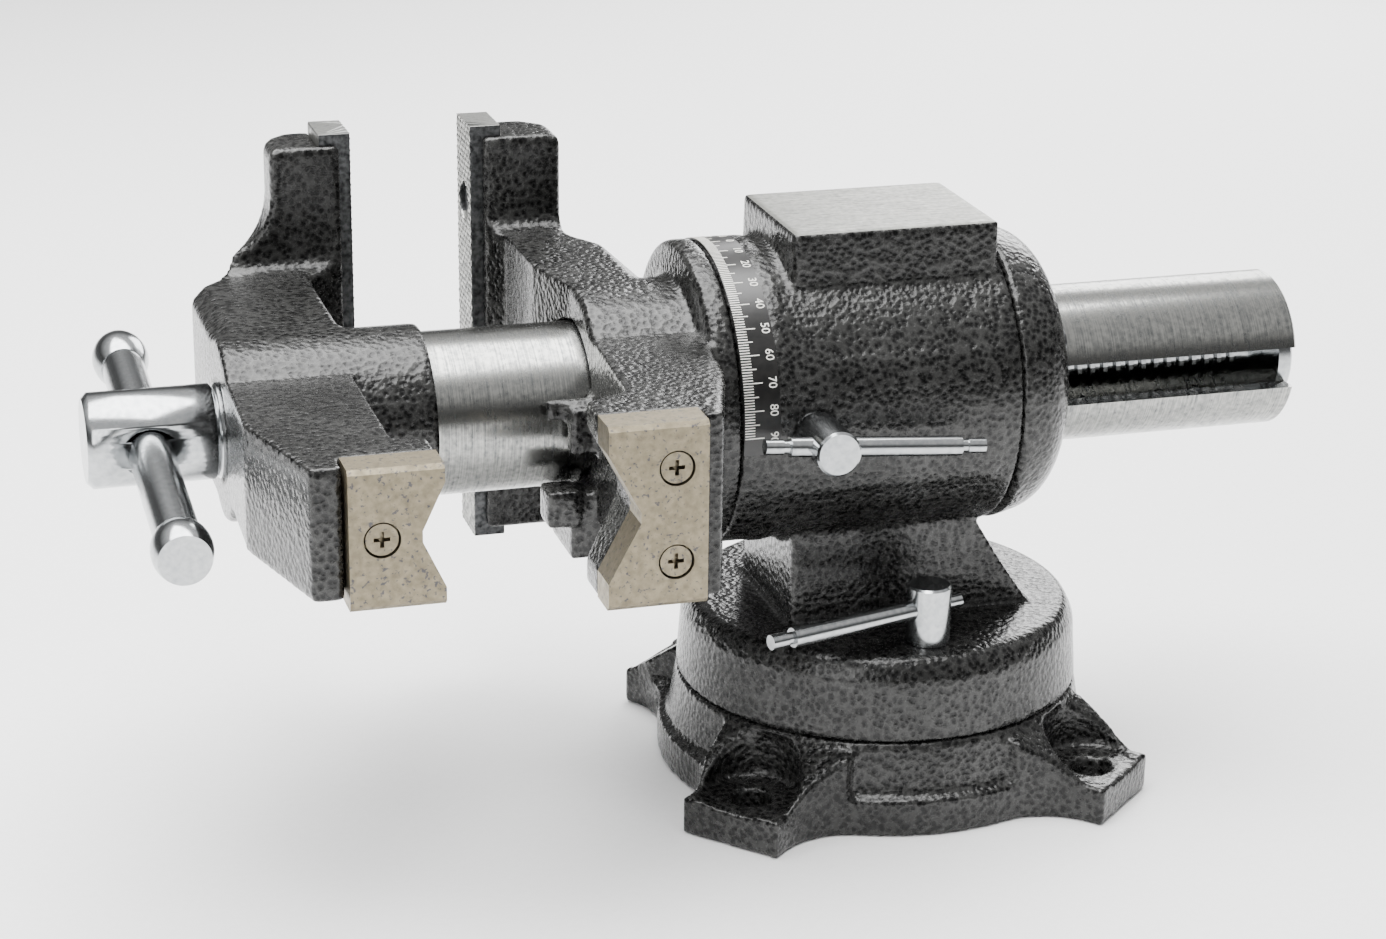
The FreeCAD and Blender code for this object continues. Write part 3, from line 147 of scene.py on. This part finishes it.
print("grey #808080 is", round(colour("#808080")[0], 3), "in linear light")

# %% [markdown]
# ## Hammertone enamel
# The castings wear a charcoal hammered enamel. As it dries it draws into glossy cells one or
# two millimetres across, each with a dark pit, and the metal flakes in it gather between
# the pits. A cell pattern gives the pits, and fine noise breaks them so that no two look
# alike. The flakes are why it is partly metallic, and the gloss is a clear coat.

# %% Hammertone enamel
HAMMER_CELL = 1.7 * MM   # real cells are 1.3 to 1.6 mm, drawn a little coarser so that they show
CELL_WOBBLE = 0.0007     # in metres: how far noise bends the cells out of their regular shape
FLAKE = 1.0 * MM         # grain of the flakes and of the small noise that breaks the cells
MOTTLE = 22 * MM         # broad drift in tone, where the coat lies thicker or thinner
PIT_RELIEF = 0.34 * MM


def hammertone_enamel():
    """Charcoal hammered enamel on cast iron: dark glossy pits in a flaky grey field."""
    material, tree, place = start_material("hammertone_enamel")
    wobble = add(tree, "ShaderNodeTexNoise", Vector=place, Scale=1 / (3 * HAMMER_CELL),
                 Detail=2.0)
    bent = add(tree, "ShaderNodeMix", {"data_type": "VECTOR"}, Factor=CELL_WOBBLE,
               _4=place, _5=wobble.outputs["Color"])
    cells = add(tree, "ShaderNodeTexVoronoi", {"feature": "SMOOTH_F1"},
                Vector=bent.outputs[1], Scale=1 / HAMMER_CELL, Smoothness=0.35)
    broad = add(tree, "ShaderNodeTexNoise", Vector=place, Scale=1 / MOTTLE, Detail=4.0)
    fine = add(tree, "ShaderNodeTexNoise", Vector=place, Scale=1 / FLAKE, Detail=2.0)
    pools = add(tree, "ShaderNodeMath", {"operation": "MULTIPLY_ADD"},
                _0=fine.outputs["Fac"], _1=0.45, _2=cells.outputs["Distance"])
    tone = ramp(tree, pools.outputs[0], (0.34, "#010101"), (0.5, "#0b0b0b"), (0.88, "#3c3c3b"))
    mood = ramp(tree, broad.outputs["Fac"], (0.35, "#8c8c8a"), (0.7, "#ffffff"))
    mixed = add(tree, "ShaderNodeMix", {"data_type": "RGBA", "blend_type": "MULTIPLY"},
                _0=0.7, _6=tone, _7=mood)
    rough = ramp(tree, fine.outputs["Fac"], (0.3, 0.17), (0.75, 0.34))
    bump = add(tree, "ShaderNodeBump", Height=pools.outputs[0], Strength=1.0,
               Distance=PIT_RELIEF)
    shader = add(tree, "ShaderNodeBsdfPrincipled", Base_Color=mixed.outputs[2],
                 Roughness=rough, Normal=bump.outputs[0], Coat_Weight=0.2,
                 Coat_Roughness=0.12, Metallic=0.35, Specular_IOR_Level=0.35)
    close_material(tree, shader)
    return material


enamel = hammertone_enamel()
print("made", enamel.name, "with cells of", HAMMER_CELL / MM, "mm")

# %% [markdown]
# ## Steels
# Six steels and a bronze differ mostly in how they were finished. A turned one has fine rings
# round its axis, which stretch highlights across it. A ground one has a short grain or a few
# pits. A zinc plated one is bright and even, and a blackened one is dull.

# %% Steel finishes
SPECK = 1.6 * MM
STAIN = 1.1 * MM
PIT = 0.9 * MM
TOOL_MARK = 0.02         # in millimetres: relief of a surface that has no pits


def steel(name, light, dark, rough_low, rough_high, grain, pit_depth=0.0, bands=None,
          fleck=None):
    """A steel whose noise is drawn out by grain, with optional pits, turning rings and flecks."""
    material, tree, place = start_material(name)
    stretched = add(tree, "ShaderNodeVectorMath", {"operation": "MULTIPLY"}, _0=place, _1=grain)
    streaks = add(tree, "ShaderNodeTexNoise", Vector=stretched.outputs[0], Scale=1.0, Detail=4.0)
    specks = add(tree, "ShaderNodeTexNoise", Vector=place, Scale=1 / SPECK, Detail=5.0)
    blend = add(tree, "ShaderNodeMath", {"operation": "MULTIPLY"},
                _0=streaks.outputs["Fac"], _1=0.55)
    both = add(tree, "ShaderNodeMath", {"operation": "MULTIPLY_ADD"},
               _0=specks.outputs["Fac"], _1=0.45, _2=blend.outputs[0])
    tone = ramp(tree, both.outputs[0], (0.36, dark), (0.6, light))
    if fleck:
        stain = add(tree, "ShaderNodeTexNoise", Vector=place, Scale=1 / STAIN, Detail=3.0)
        where = ramp(tree, stain.outputs["Fac"], (0.6, 0.0), (0.68, 0.75))
        tone = add(tree, "ShaderNodeMix", {"data_type": "RGBA"}, _0=where, _6=tone,
                   _7=colour(fleck)).outputs[2]
    rough = ramp(tree, both.outputs[0], (0.35, rough_high), (0.65, rough_low))
    height = streaks.outputs["Fac"]
    if pit_depth:
        pits = add(tree, "ShaderNodeTexNoise", Vector=place, Scale=1 / PIT, Detail=2.0)
        height = ramp(tree, pits.outputs["Fac"], (0.32, 0.0), (0.42, 1.0))
    if bands:
        rings = add(tree, "ShaderNodeTexWave", {"bands_direction": "X"}, Vector=place,
                    Scale=bands, Distortion=0.6, Detail=2.0)
        height = rings.outputs["Fac"]
    bump = add(tree, "ShaderNodeBump", Height=height, Strength=0.18,
               Distance=(pit_depth or TOOL_MARK) * MM)
    shader = add(tree, "ShaderNodeBsdfPrincipled", Base_Color=tone, Roughness=rough,
                 Metallic=1.0, Normal=bump.outputs[0])
    close_material(tree, shader)
    return material


def per_mm(x, y, z):
    """Noise periods per metre along each axis, from periods per millimetre."""
    return (x / MM, y / MM, z / MM)


# The wave node turns 20 radians for each unit of its scaled input, so a wave that takes 0.6 mm
# for one radian has its crests 2 pi times that apart, which is 3.8 mm.
WAVE_RADIANS = 20
RING_RADIAN = 0.6 * MM
# turned bright bar: noise 0.4 mm long, drawn out round the bar, gives fine rings in tone and
# gloss. The relief under them is the slow 3.8 mm wave, far coarser than real tool marks.
turned_steel = steel("turned_steel", "#a3a39f", "#6a6c6c", 0.16, 0.3, per_mm(2.5, 0.05, 0.05),
                     bands=1 / RING_RADIAN / WAVE_RADIANS)
# ground jaw steel: pale grey, a little worn
jaw_steel = steel("ground_jaw_steel", "#a9a9a5", "#757675", 0.34, 0.5, per_mm(0.4, 0.4, 0.4), 0.08)
# pipe jaw steel: hardened and tempered to a warm straw grey, with small dark pits
pipe_steel = steel("tempered_pipe_jaw_steel", "#8b826e", "#78705f", 0.4, 0.55,
                   per_mm(0.4, 0.4, 0.4), 0.1, fleck="#3f4350")
# ground anvil face: greyer, with a short grain along the vise
anvil_steel = steel("ground_anvil", "#8f8f89", "#6c6d6a", 0.38, 0.55, per_mm(0.15, 1.8, 1.0))
# clear zinc plate: bright, even and a little blue
zinc_plate = steel("zinc_plate", "#b4b6b7", "#9fa2a4", 0.14, 0.22, per_mm(0.6, 0.6, 0.6))
# blackened screws, collar, washer and pivot bolt; on the long edges of the flat jaw plates it is painted
# shade
dark_steel = steel("dark_steel", "#5e5f60", "#2b2c2d", 0.34, 0.5, per_mm(0.7, 0.7, 0.7))
# cast bronze for the spindle nut and the pad of the head lock
bronze = steel("nut_bronze", "#b08d57", "#7d6138", 0.3, 0.45, per_mm(0.7, 0.7, 0.7))
print("made seven metals")

# %% [markdown]
# ## Dial enamel
# The graduated band is black enamel on thin steel, and its marks are raised white enamel.

# %% Dial finishes
def plain_enamel(name, light, dark, rough):
    """Smooth enamel with a slight mottle so that it doesn't look like plastic."""
    material, tree, place = start_material(name)
    mottle = add(tree, "ShaderNodeTexNoise", Vector=place, Scale=1 / (2.5 * MM), Detail=4.0)
    tone = ramp(tree, mottle.outputs["Fac"], (0.35, dark), (0.7, light))
    bump = add(tree, "ShaderNodeBump", Height=mottle.outputs["Fac"], Strength=0.1,
               Distance=0.03 * MM)
    shader = add(tree, "ShaderNodeBsdfPrincipled", Base_Color=tone, Roughness=rough,
                 Normal=bump.outputs[0], IOR=1.5)
    close_material(tree, shader)
    return material


dial_black = plain_enamel("dial_black", "#1c1b1a", "#0d0d0d", 0.28)
dial_white = plain_enamel("dial_white", "#f0efe9", "#dcdad2", 0.4)
print("made the dial's two enamels")

# %% Give every node its finish
FINISH = {"hammertone_paint": enamel, "turned_steel": turned_steel, "zinc_plate": zinc_plate,
          "ground_jaw_steel": jaw_steel, "pipe_jaw_steel": pipe_steel, "dark_steel": dark_steel,
          "bronze": bronze, "dial_black": dial_black}


def slot_of(node):
    """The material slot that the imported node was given."""
    return nodes[node].data.materials[0].name.split(".")[0]


slots = {name: slot_of(name) for name in nodes}
for name, piece in nodes.items():
    finish = FINISH[slots[name]]
    piece.data.materials.clear()
    piece.data.materials.append(finish)
print("finished", len(nodes), "nodes")

# %% [markdown]
# ## Making pieces
# A casting has no sharp edge anywhere: the sand mould and the paint round them all. Bevels
# would need clean edges, so each casting is instead rebuilt on a fine voxel grid and relaxed,
# which rounds every edge and fills every inner corner alike. The new mesh stands for the CAD
# one, and stays inside its box.

# %% Helpers for meshes
JOIN_REACH = 0.002 * MM


def made(mesh, *modifiers):
    """The mesh after those modifiers, each given as (type, settings)."""
    work = bpy.data.objects.new("work", mesh)
    bpy.context.scene.collection.objects.link(work)
    for kind, settings in modifiers:
        modifier = work.modifiers.new(kind, kind)
        for name, value in settings.items():
            setattr(modifier, name, value)
    graph = bpy.context.evaluated_depsgraph_get()
    result = bpy.data.meshes.new_from_object(work.evaluated_get(graph))
    bpy.data.objects.remove(work)
    return result


def joined_copy(node):
    """A copy of a node's mesh with its split corners joined, ready to be remeshed."""
    mesh = nodes[node].data.copy()
    shell = bmesh.new()
    shell.from_mesh(mesh)
    bmesh.ops.remove_doubles(shell, verts=shell.verts, dist=JOIN_REACH)
    shell.to_mesh(mesh)
    shell.free()
    return mesh


def points_of(mesh):
    """All vertices as rows of x, y, z."""
    flat = np.zeros(len(mesh.vertices) * 3)
    mesh.vertices.foreach_get("co", flat)
    return flat.reshape(-1, 3)


def set_points(mesh, points):
    """Puts the vertices where points says."""
    mesh.vertices.foreach_set("co", points.ravel())
    mesh.update()


def piece_from(mesh, name, body, finish, slot, *replaced):
    """An object that rides on a body and stands for the replaced nodes."""
    mesh.name = name
    mesh.materials.clear()
    for material in finish:
        mesh.materials.append(material)
    piece = bpy.data.objects.new(name, mesh)
    bpy.context.scene.collection.objects.link(piece)
    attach(piece, body)
    if replaced:
        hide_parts(*replaced)
    print(name, "has", len(mesh.polygons), "faces")
    return piece


# %% Where the slide axis runs
tube_lo, tube_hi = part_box("slide_tube")
AXIS_Z = (tube_lo.z + tube_hi.z) / 2
TUBE_R = (tube_hi.z - tube_lo.z) / 2
SHANK_R = 34.0 * MM      # the head's round shank, which turns in the barrel
SHANK_FRONT = -54.5 * MM  # a little behind the face where the shank leaves the head's disc
barrel_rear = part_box("rear_cap")[0].x
print("slide axis", round(AXIS_Z / MM, 2), "mm up, tube radius", round(TUBE_R / MM, 2), "mm")

# %% [markdown]
# ## The castings
# Relaxing a grid moves the walls of round bores slightly, enough to touch what slides in them.
# So the walls of each bore are set back again to a true radius with some room.

# %% Rounded castings
VOXEL = 0.95 * MM
RELAX_STEPS = 7
KEPT_FACES = 0.35        # share of the faces that decimation leaves
WALL_REACH = 0.8 * MM    # points this near a bore's radius belong to its wall


def set_radius(points, near, target, x_from, x_to):
    """Moves wall points near one radius of the slide axis to another, between two x."""
    y, z = points[:, 1], points[:, 2] - AXIS_Z
    radius = np.hypot(y, z)
    wall = (np.abs(radius - near) < WALL_REACH) & (points[:, 0] > x_from) & (points[:, 0] < x_to)
    factor = target / radius[wall]
    points[wall, 1] = y[wall] * factor
    points[wall, 2] = z[wall] * factor + AXIS_Z


def rounded_casting(node, bores, lift=0.0):
    """A casting's mesh with soft edges and true bores; lift holds its foot off what it turns on."""
    mesh = made(joined_copy(node),
                ("REMESH", {"mode": "VOXEL", "voxel_size": VOXEL}),
                ("SMOOTH", {"factor": 0.5, "iterations": RELAX_STEPS}))
    points = points_of(mesh)
    for bore in bores:
        set_radius(points, *bore)
    low, high = [np.array(corner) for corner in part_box(node)]
    set_points(mesh, np.clip(points, low + np.array((0, 0, lift)), high))
    mesh = made(mesh, ("DECIMATE", {"ratio": KEPT_FACES}))
    mesh.shade_smooth()
    return mesh


WALL_ROOM = 0.45 * MM
FAR = 1.0
CASTINGS = [
    ("base_casting", "base", ()),
    ("head_casting", "head", ((TUBE_R, TUBE_R + WALL_ROOM, -FAR, FAR),
                              (SHANK_R, SHANK_R - WALL_ROOM, SHANK_FRONT, barrel_rear + MM))),
    ("rear_cap", "head", ((TUBE_R, TUBE_R + WALL_ROOM, -FAR, FAR),)),
    ("moving_jaw_casting", "moving_jaw", ()),
]
for node, body, bores in CASTINGS:
    piece_from(rounded_casting(node, bores), node + "_cast", body, [enamel], slots[node], node)

# %% [markdown]
# ## The ground anvil face
# The anvil is painted with the rest and then ground flat, so bare steel shows exactly as deep
# as the wheel went. Cutting the mesh at that depth gives the clean line between the two.

# %% Body and anvil
GRIND_DEPTH = 0.25 * MM
OIL_FILM = 0.2 * MM      # between the turntable and the base, so that one turns on the other


def ground_anvil(mesh, top):
    """Gives the bare steel material to the faces above the grinding depth."""
    shell = bmesh.new()
    shell.from_mesh(mesh)
    bmesh.ops.bisect_plane(shell, geom=shell.verts[:] + shell.edges[:] + shell.faces[:],
                           plane_co=(0, 0, top - GRIND_DEPTH), plane_no=(0, 0, 1))
    for face in shell.faces:
        face.material_index = int(face.calc_center_median().z > top - GRIND_DEPTH)
    shell.to_mesh(mesh)
    shell.free()
    return mesh


def body_piece():
    """The body: rounded, with its anvil ground."""
    mesh = rounded_casting("body_casting",
                           ((SHANK_R, SHANK_R + WALL_ROOM, -FAR, FAR),), lift=OIL_FILM)
    mesh.materials.clear()
    mesh.materials.append(enamel)
    mesh.materials.append(anvil_steel)
    mesh = ground_anvil(mesh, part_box("body_casting")[1].z)
    indices = [face.material_index for face in mesh.polygons]
    piece = piece_from(mesh, "body_casting_cast", "body", [enamel, anvil_steel],
                       slots["body_casting"], "body_casting")
    piece.data.polygons.foreach_set("material_index", indices)
    print("anvil has", sum(indices), "ground faces")


body_piece()

# %% [markdown]
# ## Serrated jaw plates
# The wide plates grip with a diamond pattern milled into their faces. It is cut here as real
# grooves: the plate is put on a grid fine enough to hold them, and each point of the working
# face sinks by how near it lies to one of two crossing sets of lines. The long side faces get
# the dark steel as painted shade, picked only by which way they face.

# %% Jaw plates
GROOVE_PITCH = 2.4 * MM
GROOVE_DEPTH = 0.45 * MM
GROOVE_HALF = 0.3        # half a groove's width as a share of the pitch
PLATE_VOXEL = 0.4 * MM
FACE_REACH = 0.15 * MM   # points this near the working face are on it
SIDEWAYS = 0.7           # a face whose normal leans more than this to the side is a long edge, which gets painted shade


def serrated_plate(node, body, face_high):
    """A jaw plate with crossed grooves on the face at its lowest or highest x."""
    low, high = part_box(node)
    face_x = high.x if face_high else low.x
    mesh = made(joined_copy(node), ("REMESH", {"mode": "VOXEL", "voxel_size": PLATE_VOXEL}),
                ("SMOOTH", {"factor": 0.5, "iterations": 1}))
    points = points_of(mesh)
    on_face = np.abs(points[:, 0] - face_x) < FACE_REACH
    sink = np.zeros(len(points))
    for lean in (1, -1):
        across = (points[:, 1] + lean * points[:, 2]) / math.sqrt(2) / GROOVE_PITCH
        distance = np.abs(across - np.round(across))
        sink = np.maximum(sink, np.clip(1 - distance / GROOVE_HALF, 0, 1))
    direction = -1 if face_high else 1
    points[on_face, 0] += direction * GROOVE_DEPTH * sink[on_face]
    set_points(mesh, np.clip(points, np.array(low), np.array(high)))
    mesh = made(mesh, ("DECIMATE", {"ratio": KEPT_FACES}))
    mesh.shade_smooth()
    # the long side faces get the dark steel as painted shade, chosen by their direction alone
    shaded_long_edges = [int(abs(face.normal.y) > SIDEWAYS) for face in mesh.polygons]
    piece = piece_from(mesh, node + "_serrated", body, [jaw_steel, dark_steel], slots[node], node)
    piece.data.polygons.foreach_set("material_index", shaded_long_edges)


serrated_plate("fixed_jaw_plate", "head", False)
serrated_plate("moving_jaw_plate", "moving_jaw", True)

# %% [markdown]
# ## The screw thread
# A trapezoidal thread four millimetres in pitch is a section swept along a helix. The CAD rod
# is plain at the thread's outer size, so a copy of it shrinks to the root and the swept ridge
# brings it back out to nearly that size.

# %% Lead screw
THREAD_R = 8.0 * MM
ROOT_R = 6.7 * MM
PITCH = 4.0 * MM
TURN_STEPS = 32
CREST_HALF = 0.65 * MM
FOOT_HALF = 1.35 * MM
CREST_ROOM = 0.03 * MM   # the ridge stops this far inside the thread's outer size
FOOT_SINK = 0.1 * MM     # and starts this far inside the root, so that the two meshes overlap
THREAD_REACH = 0.06 * MM


def thread_ridge(x_from, x_to):
    """Vertices and faces of a right-hand ridge between two x."""
    profile = [(-FOOT_HALF, ROOT_R - FOOT_SINK), (-CREST_HALF, THREAD_R - CREST_ROOM),
               (CREST_HALF, THREAD_R - CREST_ROOM), (FOOT_HALF, ROOT_R - FOOT_SINK)]
    steps = int((x_to - x_from - 2 * FOOT_HALF) / PITCH * TURN_STEPS)
    points, faces = [], []
    for step in range(steps + 1):
        turn = 2 * math.pi * step / TURN_STEPS
        middle = x_from + FOOT_HALF + PITCH * step / TURN_STEPS
        for along, radius in profile:
            points.append((middle + along, radius * math.cos(turn),
                           AXIS_Z + radius * math.sin(turn)))
    for step in range(steps):
        for side in range(4):
            a, b = 4 * step + side, 4 * step + (side + 1) % 4
            faces.append((a, b, b + 4, a + 4))
    faces += [(3, 2, 1, 0), tuple(4 * steps + side for side in range(4))]
    return points, faces


def threaded_screw():
    """The rod shrunk to its thread's root, and the ridge round it, as one mesh."""
    mesh = joined_copy("lead_screw")
    points = points_of(mesh)
    radius = np.hypot(points[:, 1], points[:, 2] - AXIS_Z)
    thread = np.abs(radius - THREAD_R) < THREAD_REACH
    start, end = points[thread, 0].min(), points[thread, 0].max()
    factor = ROOT_R / radius[thread]
    points[thread, 1] *= factor
    points[thread, 2] = (points[thread, 2] - AXIS_Z) * factor + AXIS_Z
    set_points(mesh, points)
    ridge = bpy.data.meshes.new("ridge")
    ridge_points, ridge_faces = thread_ridge(start + MM, end - MM)
    ridge.from_pydata(ridge_points, [], ridge_faces)
    shell = bmesh.new()
    shell.from_mesh(mesh)
    shell.from_mesh(ridge)
    bmesh.ops.recalc_face_normals(shell, faces=shell.faces)
    shell.to_mesh(mesh)
    shell.free()
    print("thread from", round(start / MM, 1), "to", round(end / MM, 1), "mm")
    return mesh


piece_from(threaded_screw(), "threaded_lead_screw", "spindle", [zinc_plate],
           slots["lead_screw"], "lead_screw")

# %% [markdown]
# ## Dial marks
# The dial reads how far the head has turned. One degree marks run from its front edge, longer
# at each five and ten, with a number at each ten. Every mark is drawn flat and then wrapped
# on the band, so marks and numbers keep their true size round the curve.

# %% Dial marks and numbers
dial_lo, dial_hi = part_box("dial_strip")
DIAL_R = dial_hi.z - AXIS_Z
MARK_RISE = 0.08 * MM
MARK_WIDTH = 0.28 * MM
MARK_START = 0.2 * MM
MARK_TEN, MARK_FIVE, MARK_ONE = 5.6 * MM, 4.3 * MM, 3.0 * MM
NUMBER_SIZE = 3.3 * MM
NUMBER_PLACE = 8.4 * MM  # from the dial's front edge to the middle of a number


def wrapped(angle, along, across, height):
    """A point on the dial: angle from the top in radians, along x, across it, and outward."""
    turned = angle + across / DIAL_R
    radius = DIAL_R + height
    return (dial_lo.x + along, -radius * math.sin(turned), AXIS_Z + radius * math.cos(turned))


def dial_marks():
    """A thin raised bar at each degree."""
    points, faces = [], []
    for degree in range(-90, 91):
        length = MARK_TEN if degree % 10 == 0 else MARK_FIVE if degree % 5 == 0 else MARK_ONE
        first = len(points)
        for height in (-MARK_RISE, MARK_RISE):
            for along, side in ((MARK_START, -0.5), (length, -0.5), (length, 0.5),
                                (MARK_START, 0.5)):
                points.append(wrapped(math.radians(degree), along, side * MARK_WIDTH, height))
        faces += [tuple(first + corner for corner in loop) for loop in (
            (3, 2, 1, 0), (4, 5, 6, 7), (0, 1, 5, 4), (1, 2, 6, 5), (2, 3, 7, 6), (3, 0, 4, 7))]
    mesh = bpy.data.meshes.new("dial_marks")
    mesh.from_pydata(points, [], faces)
    return mesh


def dial_numbers():
    """The tens, each set as type, made into a mesh and wrapped on the band."""
    shell = bmesh.new()
    for ten in range(-90, 91, 10):
        type_line = bpy.data.curves.new("number", "FONT")
        type_line.body = str(abs(ten))
        type_line.size = NUMBER_SIZE
        type_line.extrude = MARK_RISE
        type_line.align_x = "CENTER"
        type_line.align_y = "CENTER"
        holder = bpy.data.objects.new("number", type_line)
        bpy.context.scene.collection.objects.link(holder)
        graph = bpy.context.evaluated_depsgraph_get()
        flat = bpy.data.meshes.new_from_object(holder.evaluated_get(graph))
        bpy.data.objects.remove(holder)
        points = points_of(flat)
        set_points(flat, np.array([wrapped(math.radians(ten), NUMBER_PLACE + y, x, z)
                                   for x, y, z in points]))
        shell.from_mesh(flat)
    mesh = bpy.data.meshes.new("dial_numbers")
    shell.to_mesh(mesh)
    shell.free()
    return mesh


piece_from(dial_marks(), "dial_marks", "body", [dial_white], "dial_black")
piece_from(dial_numbers(), "dial_numbers", "body", [dial_white], "dial_black")

# %% [markdown]
# ## Studio
# A broad pale floor and one very large soft light overhead, with a weak fill in front and a
# light behind for bright edges. Steel shows what is round it, so the world is dim low down and
# bright overhead: without that dark band polished metal looks like chalk.

# %% Floor and light
FLOOR_REACH = 60.0       # in metres, so far that its edge lies on the horizon
FLOOR_DROP = 0.0002      # in metres below the vise
VISE_MIDDLE = Vector((-0.03, 0, 0.1))


def floor():
    """A wide pale floor just under the vise."""
    mesh = bpy.data.meshes.new("studio_floor")
    far = FLOOR_REACH
    level_z = cad_bounds[0][2] - FLOOR_DROP
    mesh.from_pydata([(-far, -far, level_z), (far, -far, level_z),
                      (far, far, level_z), (-far, far, level_z)], [], [(0, 1, 2, 3)])
    piece = bpy.data.objects.new("studio_floor", mesh)
    bpy.context.scene.collection.objects.link(piece)
    mesh.materials.append(plain_enamel("studio_white", "#fbfbfb", "#f8f8f8", 0.8))


def soft_light(name, place, size, watts):
    """A square area light at place that faces the vise."""
    data = bpy.data.lights.new(name, "AREA")
    data.size = size
    data.energy = watts
    lamp = bpy.data.objects.new(name, data)
    lamp.location = place
    aim = VISE_MIDDLE - Vector(place)
    lamp.rotation_euler = aim.to_track_quat("-Z", "Y").to_euler()
    bpy.context.scene.collection.objects.link(lamp)


floor()
soft_light("key", (-0.25, 0.15, 1.2), 1.3, 62)
soft_light("fill", (-1.0, -1.1, 0.6), 0.7, 7)
soft_light("rim", (0.7, 1.1, 0.6), 0.7, 14)
world = bpy.data.worlds.new("studio")
world.use_nodes = True
sky = world.node_tree
outward = add(sky, "ShaderNodeTexCoord").outputs["Generated"]
direction = add(sky, "ShaderNodeSeparateXYZ", _0=outward)
glow = ramp(sky, direction.outputs["Z"], (0.0, 0.2), (0.3, 0.09), (0.62, 0.85))
sky.links.new(glow, sky.nodes["Background"].inputs["Color"])
sky.nodes["Background"].inputs["Strength"].default_value = 1.0
bpy.context.scene.world = world
print("studio ready")
